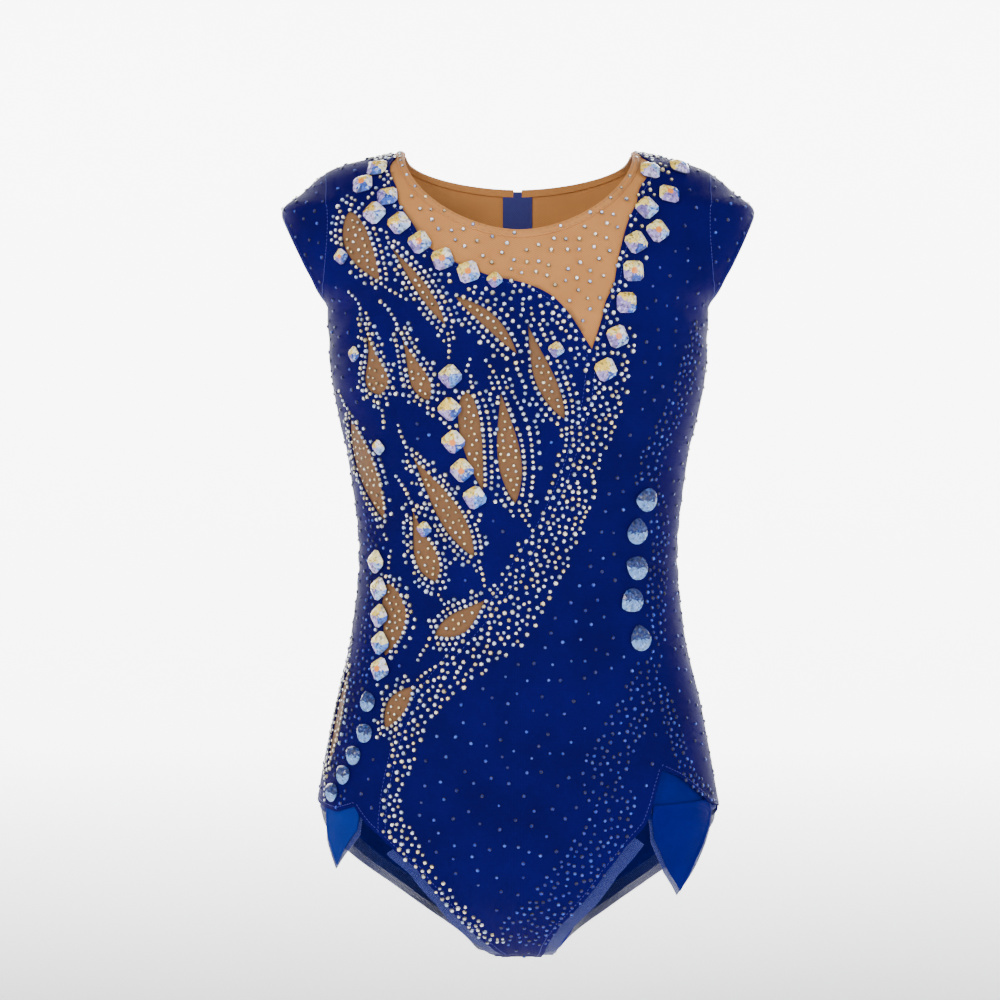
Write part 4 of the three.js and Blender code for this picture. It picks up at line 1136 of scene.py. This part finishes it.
stoneRows = {
    "square_stone_yoke_right": [(-0.726, 0.016, 45), (-0.716, 0.029, 40), (-0.557, 0.039, 42),
                                (-0.591, 0.052, 45),
                                (-0.49, 0.060, 35), (-0.408, 0.075, 30), (-0.319, 0.088, 12),
                                (-0.218, 0.098, 10)],
    "square_stone_yoke_left": [(0.66, 0.018, 40), (0.84, 0.015, 30), (0.65, 0.037, 42), (0.525, 0.048, 45),
                               (0.57, 0.066, 40), (0.482, 0.075, 35), (0.493, 0.097, 20), (0.533, 0.121, 25),
                               (0.496, 0.147, 25), (0.441, 0.172, 30)],
    "square_stone_ribs": [(-0.35, 0.177, 40), (-0.366, 0.202, 45), (-0.361, 0.227, 35), (-0.324, 0.249, 40),
                          (-0.257, 0.270, 30)],
    "square_stone_waist": [(-0.865, 0.322, 40), (-0.842, 0.343, 35), (-0.828, 0.364, 40), (-0.807, 0.385, 42),
                           (-0.783, 0.405, 38)],
    "pear_stone_side": [(0.761, 0.273, 90), (0.715, 0.298, 0), (0.718, 0.326, 60), (0.68, 0.351, 120),
                        (0.714, 0.381, 10)],
    "pear_stone_hip": [(-0.812, 0.431, 30), (-0.8, 0.455, 60), (-0.84, 0.473, 60), (-0.875, 0.489, 55),
                       (-0.918, 0.504, 60)],
}
clearCut = {"shape": cushion, "pick": squareTint, "crystal": clearCrystal, "slot": "clear_stone"}
pearCut = {"shape": pear, "rise": 0.0032, "pick": pearTint, "crystal": blueCrystal, "slot": "blue_stone"}
stoneCuts = {
    "square": clearCut | {"size": 0.0158, "rise": 0.0034}, "side": pearCut | {"size": 0.0206},
    "hip": pearCut | {"size": 0.0165}, "small": clearCut | {"size": 0.0105, "rise": 0.0024, "clear": 0.0058},
}
for row, places in stoneRows.items():
    cut = stoneCuts["square" if row.startswith("square") else row.split("_")[-1]]
    for i, (shareX, drop, spin) in enumerate(places):
        name = f"{row}_{i + 1}"
        stone(name, cut, shareX, drop, math.radians(spin), name)
for i, (shareX, drop) in enumerate([(-0.107, 0.104), (-0.746, 0.085), (-0.84, 0.160), (-0.788, 0.232),
                                    (0.188, 0.157), (-0.565, 0.295)]):
    stone(f"small_square_stone_{i + 1}", stoneCuts["small"], shareX, drop, math.radians(35), None)
print("large stones ready")


# Small crystals: darts thrown at the cutting plane, each kept if it is far enough from its neighbours

cell = 0.008  # places are looked up in cubes of this size
taken = {}


def cellOf(point):
    return tuple(int(math.floor(v / cell)) for v in point)


def claim(point, radius, gap):
    # True, and the place taken, when no neighbour is nearer than the two radii and the gap
    key = cellOf(point)
    for i in (-1, 0, 1):
        for j in (-1, 0, 1):
            for k in (-1, 0, 1):
                for other, size in taken.get((key[0] + i, key[1] + j, key[2] + k), ()):
                    if math.dist(other, point) < radius + size + gap:
                        return False
    taken.setdefault(key, []).append((tuple(point), radius))
    return True


bodyRadius = 0.13  # about the metres to a radian where the large stones are
for turn, drop, radius in stoneSpots:
    for angle in range(12):
        for reach in (0.35, 0.8):
            side = radius * reach
            turned = turn + side * math.cos(angle * math.pi / 6) / bodyRadius
            spot = surface(turned, drop + side * math.sin(angle * math.pi / 6))[0]
            taken.setdefault(cellOf(spot), []).append((tuple(spot), radius * 0.25))

crystals = []
sizeDice = random.Random(7)


def scatter(points, radius, gap, kind, jitter=0.0):
    # points lie in the cutting plane
    if len(points) == 0:
        return
    turns, drops = unflat(np.asarray(points))
    places, normals = surface(turns, drops)
    for place, normal, turn, drop in zip(places, normals, turns, drops):
        size = radius * sizeDice.choice((0.86, 1.0, 1.0, 1.12))
        if claim(place, size, gap * (1 + jitter * sizeDice.random())):
            crystals.append((place, normal, size, kind))


def darts(lowest, highest, count, seed):
    return np.random.default_rng(seed).uniform(lowest, highest, (count, 2))


def alongLine(line, spacing, offset=0.0):
    # points along a line in the cutting plane, moved sideways
    steps = np.linalg.norm(np.diff(line, axis=0), axis=1)
    run = np.concatenate([[0], np.cumsum(steps)])
    at = np.arange(spacing / 2, run[-1], spacing)
    points = np.stack([np.interp(at, run, line[:, i]) for i in (0, 1)], -1)
    ahead = np.stack([np.interp(at + 0.001, run, line[:, i]) for i in (0, 1)], -1)
    behind_ = np.stack([np.interp(at - 0.001, run, line[:, i]) for i in (0, 1)], -1)
    tangent = ahead - behind_
    tangent /= np.linalg.norm(tangent, axis=1, keepdims=True) + 1e-9
    return points + offset * np.stack([-tangent[:, 1], tangent[:, 0]], -1)


def frontLine(points):
    # (x, drop) in metres to the cutting plane
    return flat(front(shares(throughPoints(points, 60))))


leafFlats = [dense(flat(loop), 0.002) for loop in leaves]
panelFlat = dense(flat(frontLoop), 0.008)
appliqueFlat = dense(flat(appliqueLoop), 0.008)
baseFlat = dense(flat(baseLoop), 0.008)
goldKind, whiteKind, iceKind, blueKind = 0, 1, 2, 3

# rows that follow each leaf, then the gold dots inside it and the tapering trails at its tips
def clearOfLeaves(points):
    keep = np.ones(len(points), bool)
    for loop in leafFlats:
        keep &= ~inside(points, loop)
    return keep


for i, loop in enumerate(leafFlats):
    closed = np.vstack([loop, loop[:1]])
    for offset, kind in ((0.0012, whiteKind), (0.0056, whiteKind), (0.0098, iceKind)):
        points = np.vstack([alongLine(closed, 0.0022, offset), alongLine(closed, 0.0022, -offset)])
        keep = clearOfLeaves(points) & (distanceTo(points, loop) > offset * 0.93) & inside(points,
                                                                                           appliqueFlat)
        points = points[keep]
        if kind == iceKind:
            points = points[np.random.default_rng(60 + i).random(len(points)) < 0.45]
        scatter(points, 0.0019, 0.0002, kind, 1.0)
    points = darts(loop.min(0), loop.max(0), 3000, 40 + i)
    keep = inside(points, loop) & (distanceTo(points, loop) > 0.0005)
    scatter(points[keep], 0.0014, 0.0018, goldKind, 0.3)
    for tip, next_ in ((loop[0], loop[len(loop) // 2]), (loop[len(loop) // 2], loop[0])):
        away = tip - next_
        away /= np.linalg.norm(away)
        bendSide = np.array([-away[1], away[0]]) * (0.2 if i % 2 else -0.2)
        centre = np.array([tip + away * r + bendSide * r * r / 0.02 for r in np.arange(0.003, 0.026, 0.0043)])
        flank = np.vstack([centre[:3] + np.array([-away[1], away[0]]) * 0.0036 * hand for hand in (1, -1)])
        trail = np.vstack([centre, flank])
        scatter(trail[inside(trail, appliqueFlat) & clearOfLeaves(trail)], 0.0017, 0.0003, whiteKind)
print("leaf rows ready", len(crystals))

# cream and ice band along the curved seam, and along both yoke edges round the large stones
waveLine = frontLine([(0.0736, 0.150), (0.0656, 0.196), (0.0496, 0.236), (0.0376, 0.276), (0.0216, 0.316),
                      (0.0016, 0.348), (-0.0224, 0.380), (-0.0504, 0.404), (-0.0784, 0.436), (-0.0904, 0.468),
                      (-0.1024, 0.508), (-0.0904, 0.532), (-0.0744, 0.564), (-0.0544, 0.588),
                      (-0.0224, 0.620)])
ragged = np.random.default_rng(8)
points = darts(panelFlat.min(0), panelFlat.max(0), 90000, 3)
near = distanceTo(points, waveLine, False) * ragged.uniform(0.85, 1.3, len(points))
fade = 0.0150 * np.interp(unflat(points)[1], [0.15, 0.30, 0.45, 0.62], [0.95, 1.15, 0.85, 0.5])
onCloth = (inside(points, panelFlat) | inside(points, appliqueFlat)) & clearOfLeaves(points)
scatter(points[onCloth & (near < fade)], 0.0019, 0.0004, whiteKind, 0.9)
for line, reach, region in ((flat(yokeRight), 0.019, appliqueFlat), (flat(yokeLeft), 0.016, panelFlat)):
    points = darts(line.min(0) - 0.02, line.max(0) + 0.02, 24000, 5)
    near = distanceTo(points, line, False) * ragged.uniform(0.85, 1.3, len(points))
    scatter(points[inside(points, region) & clearOfLeaves(points) & (near < reach)], 0.0019, 0.0004,
            whiteKind, 0.9)
print("curved band ready", len(crystals))

# blue bands and the dense strip on the wearer's right side
for line, reach, gap in (
        (frontLine([(0.1376, 0.150), (0.1256, 0.196), (0.1096, 0.228), (0.100, 0.262), (0.112, 0.300),
                    (0.108, 0.345),
                    (0.104, 0.392), (0.0896, 0.436), (0.0656, 0.484), (0.0736, 0.516), (0.0336, 0.580),
                    (0.008, 0.618)]), 0.016, 0.0011),
        (frontLine([(0.1136, 0.428), (0.132, 0.484), (0.152, 0.512)]), 0.010, 0.0011),
        (frontLine([(-0.118, 0.255), (-0.112, 0.32), (-0.118, 0.38), (-0.130, 0.44), (-0.142, 0.50)]), 0.016,
         0.0016)):
    points = darts(line.min(0) - 0.02, line.max(0) + 0.02, 20000, 11)
    onCloth = (inside(points, panelFlat) | inside(points, appliqueFlat)) & clearOfLeaves(points)
    scatter(points[onCloth & (distanceTo(points, line, False) < reach)], 0.0016, gap, blueKind, 1.2)
print("blue bands ready", len(crystals))

# sparse scatter: blue on the blue cloth, white on the nude yoke
points = darts(panelFlat.min(0), panelFlat.max(0), 9000, 17)
scatter(points[inside(points, panelFlat) & (distanceTo(points, panelFlat) > 0.006)], 0.0015, 0.0060,
        blueKind, 0.9)
points = darts(appliqueFlat.min(0), appliqueFlat.max(0), 9000, 19)
keep = inside(points, appliqueFlat) & (distanceTo(points, appliqueFlat) > 0.006) & clearOfLeaves(points)
scatter(points[keep], 0.0015, 0.0055, blueKind, 0.9)
ringMiddle = flat(neckRing(neckline["binding"] / 2))
scatter(alongLine(ringMiddle, 0.0185), 0.0016, 0.001, whiteKind)
points = darts(baseFlat.min(0), baseFlat.max(0), 30000, 23)
keep = inside(points, baseFlat) & ~inside(points, appliqueFlat) & ~inside(points, panelFlat)
scatter(points[keep & (distanceTo(points, baseFlat) > 0.003)], 0.0017, 0.0042, whiteKind, 0.5)
for side in (1, -1):
    sleeveFlat = flat(sleeveLoop if side > 0 else mirrored(sleeveLoop))
    points = darts(sleeveFlat.min(0), sleeveFlat.max(0), 3000, 29)
    scatter(points[inside(points, sleeveFlat) & (distanceTo(points, sleeveFlat) > 0.006)], 0.0015, 0.0055,
            blueKind, 0.9)
    backFlat = dense(flat(panelLoops[1] if side > 0 else mirrored(panelLoops[-1])), 0.008)
    edgeFlat = flat(backYoke if side > 0 else mirrored(backYoke))
    points = darts(backFlat.min(0), backFlat.max(0), 12000, 31)
    inCloth = inside(points, backFlat) & (distanceTo(points, backFlat) > 0.006)
    scatter(points[inCloth & (distanceTo(points, edgeFlat, False) < 0.016)], 0.0017, 0.0013, whiteKind, 0.5)
    scatter(points[inCloth], 0.0015, 0.0085, blueKind, 0.9)
print("crystals placed", len(crystals))

smallStones = {
    goldKind: {"word": "gold", "slot": "clear_stone", "crystal": smallCrystal,
               "tints": ["#fff2d0", "#ffe6a8", "#fffaf0", "#f6d48c"]},
    whiteKind: {"word": "white", "slot": "clear_stone", "crystal": smallCrystal,
                "tints": ["#ffffff", "#fff6dc", "#ffe9b4", "#d5e3ff", "#f4f7ff", "#b4cbfa"]},
    iceKind: {"word": "ice", "slot": "clear_stone", "crystal": smallCrystal,
              "tints": ["#cfdfff", "#a9c6ff", "#ffffff", "#8fb0f0"]},
    blueKind: {"word": "sapphire", "slot": "blue_stone", "crystal": smallSapphire,
               "tints": ["#1230b0", "#0e2694", "#1e46cc", "#0b1e7c", "#2c5ade"]},
}
for kind, spec in smallStones.items():
    dice = random.Random(spec["word"])
    vertices, faces, tints = [], [], []
    for place, normal, size, which in crystals:
        if which != kind:
            continue
        tilt = Vector(normal) + Vector([dice.uniform(-0.12, 0.12) for _ in range(3)])
        tilt.normalize()
        side = tilt.orthogonal().normalized()
        up = tilt.cross(side)
        spin = dice.uniform(0, math.pi / 3)
        start = len(vertices)
        base = np.array(linear(dice.choice(spec["tints"]))) * dice.choice((1.0, 1.0, 0.8, 0.6, 0.42))
        for ring, reach, height in ((0, 1.0, 0.0002), (1, 0.66, 0.66)):
            for k in range(6):
                angle = spin + math.pi / 3 * k
                spot = (Vector(place) + (side * math.cos(angle) + up * math.sin(angle)) * size * reach
                        + tilt * (height if ring == 0 else size * height))
                vertices.append(spot)
        # painted shade: the underside is nearly black and the side facets are darkened, a dark rim round each
        # stone; the table keeps the full tint
        faces.append(tuple(start + k for k in range(5, -1, -1)))
        tints.append(base * 0.1)
        for k in range(6):
            faces.append((start + k, start + (k + 1) % 6, start + 6 + (k + 1) % 6, start + 6 + k))
            tints.append(np.minimum(base * dice.choice((0.02, 0.05, 0.12, 0.4)), 1))
        faces.append(tuple(start + 6 + k for k in range(6)))
        tints.append(base)
    attach(tinted(f"small_crystals_{spec['word']}", vertices, faces, tints, spec["crystal"]), "garment")
print("small crystals ready")


# Stitching: short raised stitches along seams and hems, one mesh for each thread

stitchSize = {"length": 0.0021, "gap": 0.0011, "proud": 0.00025, "half": 0.00022, "thick": 0.00018}


def stitches(name, material, lines):
    # each line has an offset to either side, its lift over the body and the cloth that it must stay on
    vertices, faces = [], []
    for line, offset, lift, region in lines:
        for side in (offset, -offset):
            points = alongLine(line, stitchSize["length"] + stitchSize["gap"], side)
            points = points[inside(points, region)]
            if len(points) < 2:
                continue
            places, normals = surface(*unflat(points), -lift)
            for place, normal, next_ in zip(places[:-1], normals[:-1], places[1:]):
                along = next_ - place
                distance = np.linalg.norm(along)
                if not 0.0005 < distance < 0.008:
                    continue
                along = along / distance
                across = np.cross(normal, along)
                start = len(vertices)
                for reach, wide, high in ((-0.5, 0.4, -0.2), (-0.25, 1.0, 1.0), (0.25, 1.0, 1.0),
                                          (0.5, 0.4, -0.2)):
                    centre = place + along * reach * stitchSize["length"]
                    for u, v in ((-1, 0), (0, 1), (1, 0), (0, -1)):
                        rise = v * stitchSize["thick"] + high * stitchSize["proud"]
                        vertices.append(centre + across * u * wide * stitchSize["half"] + normal * rise)
                faces.append((start + 3, start + 2, start + 1, start))
                faces.append((start + 12, start + 13, start + 14, start + 15))
                for k in range(3):
                    for i in range(4):
                        a, b = start + 4 * k + i, start + 4 * k + (i + 1) % 4
                        faces.append((a, b, b + 4, a + 4))
    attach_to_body(meshObject(name, vertices, faces, material, None, 60), "garment")


ringInner, ringOuter = neckRing(0.0), neckRing(neckline["binding"])
ringFlat = flat(np.vstack([ringInner, ringOuter[::-1]]))
stitches("neck_binding_stitches", nudeThread, [(flat(ringInner), 0.0015, 0.0004, ringFlat),
                                               (flat(ringInner), 0.0046, 0.0004, ringFlat)])
hemLines = []
for side in (1, -1):
    armhole = np.vstack([armFront, armBack[::-1]])
    for line, offset, region in ((sleeveFront, 0.0035, sleeveLoop), (sleeveBack, 0.0035, sleeveLoop),
                                 (armhole, 0.0035, sleeveLoop), (hemBacks[side], 0.0035, panelLoops[side]),
                                 (backYoke, 0.0032, panelLoops[side])):
        line, region = (line, region) if side > 0 else (mirrored(line), mirrored(region))
        hemLines.append((flat(line), offset, 0.0002, flat(region)))
for line in (hemLeft, yokeLeft, sweep, hemRight[4:]):
    hemLines.append((flat(line), 0.0032, 0.0002, flat(frontLoop)))
for line in (hemRight[:5], yokeRight, sweep):
    hemLines.append((flat(line), 0.0032, 0.0002, flat(appliqueLoop)))
stitches("hem_stitches", blueThread, hemLines)
print("stitching ready")


# Room, light and camera

def backdropMaterial():
    # seamless paper: matt off-white with a faint fibre
    material, tree, shader = newMaterial("palePaper", Roughness=0.9, Specular_IOR_Level=0.2)
    noise = addNode(tree, "ShaderNodeTexNoise", {"Vector": bodyPlace(tree), "Scale": 1 / 0.3} | cloudy)
    mixed = addNode(tree, "ShaderNodeMix", {0: noise, 6: linear("#f8f8f8"), 7: linear("#f4f4f4")},
                    data_type="RGBA")
    tone = mixed.outputs[2]
    link(tree, tone, shader, "Base Color")
    place = addNode(tree, "ShaderNodeSeparateXYZ",
                    {0: addNode(tree, "ShaderNodeNewGeometry").outputs["Position"]})
    glow = addNode(tree, "ShaderNodeMapRange", {"Value": place.outputs[1], "From Min": 0.5, "From Max": 3.4,
                                                "To Min": 0.25, "To Max": 7.0})
    link(tree, glow.outputs[0], shader, "Emission Strength")
    link(tree, tone, shader, "Emission Color")
    return material


paper = {"half": 3.4, "front": -2.6, "back": 2.4, "low": -0.80, "curve": 1.2, "top": 4.0}
paperRows = [(paper["front"], paper["low"])]
for bend in np.linspace(0, math.pi / 2, 12):
    paperRows.append((paper["back"] + paper["curve"] * math.sin(bend),
                      paper["low"] + paper["curve"] * (1 - math.cos(bend))))
paperRows.append((paper["back"] + paper["curve"], paper["top"]))
corners = [(x, y, z) for y, z in paperRows for x in (-paper["half"], paper["half"])]
strips = [(k, k + 1, k + 3, k + 2) for k in range(0, 2 * len(paperRows) - 2, 2)]
floor = meshObject("floor", corners, strips, backdropMaterial(), None, 0)

world = bpy.data.worlds.new("studio")
bpy.context.scene.world = world
world.use_nodes = True
tree = world.node_tree
ray = addNode(tree, "ShaderNodeTexCoord")
parts = addNode(tree, "ShaderNodeSeparateXYZ", {0: ray.outputs["Generated"]})
height = addNode(tree, "ShaderNodeMapRange", {"Value": parts.outputs[2], "From Min": 0.15, "From Max": 0.9,
                                              "To Min": 0.0, "To Max": 1.0})
sky = addNode(tree, "ShaderNodeMix", {0: height, 6: linear("#ffffff"), 7: linear("#8a8f98")},
              data_type="RGBA")
link(tree, sky.outputs[2], tree.nodes["Background"], "Color")
tree.nodes["Background"].inputs["Strength"].default_value = 0.95


def softLight(name, place, target, size, power, colour):
    light = bpy.data.lights.new(name, "AREA")
    light.shape = "DISK"
    light.size = size
    light.energy = power
    light.color = linear(colour)[:3]
    lamp = bpy.data.objects.new(name, light)
    lamp.location = place
    lamp.rotation_euler = (Vector(target) - Vector(place)).to_track_quat("-Z", "Y").to_euler()
    bpy.context.scene.collection.objects.link(lamp)


middle = (0, 0, -0.30)
softLight("key", (-1.3, -2.0, 0.9), middle, 0.7, 34, "#fff7ee")
softLight("fill", (1.6, -1.8, 0.3), middle, 1.1, 16, "#eef3ff")
softLight("sparkle", (0.35, -2.3, 1.2), middle, 0.18, 10, "#ffffff")
softLight("rimLight", (0.6, 1.9, 0.9), middle, 0.9, 8, "#f4f6ff")

cameraSet = {"lens": 99, "sensor": 36, "away": 2.2, "downward": math.radians(2.5)}
aim = Vector((-0.0144, 0.0, -0.276))
view = bpy.data.cameras.new("camera")
view.sensor_width = cameraSet["sensor"]
view.lens = cameraSet["lens"]
camera = bpy.data.objects.new("camera", view)
tilt = cameraSet["downward"]
camera.location = aim + Vector((0, -math.cos(tilt), math.sin(tilt))) * cameraSet["away"]
camera.rotation_euler = (aim - camera.location).to_track_quat("-Z", "Y").to_euler()
bpy.context.scene.collection.objects.link(camera)
bpy.context.scene.camera = camera
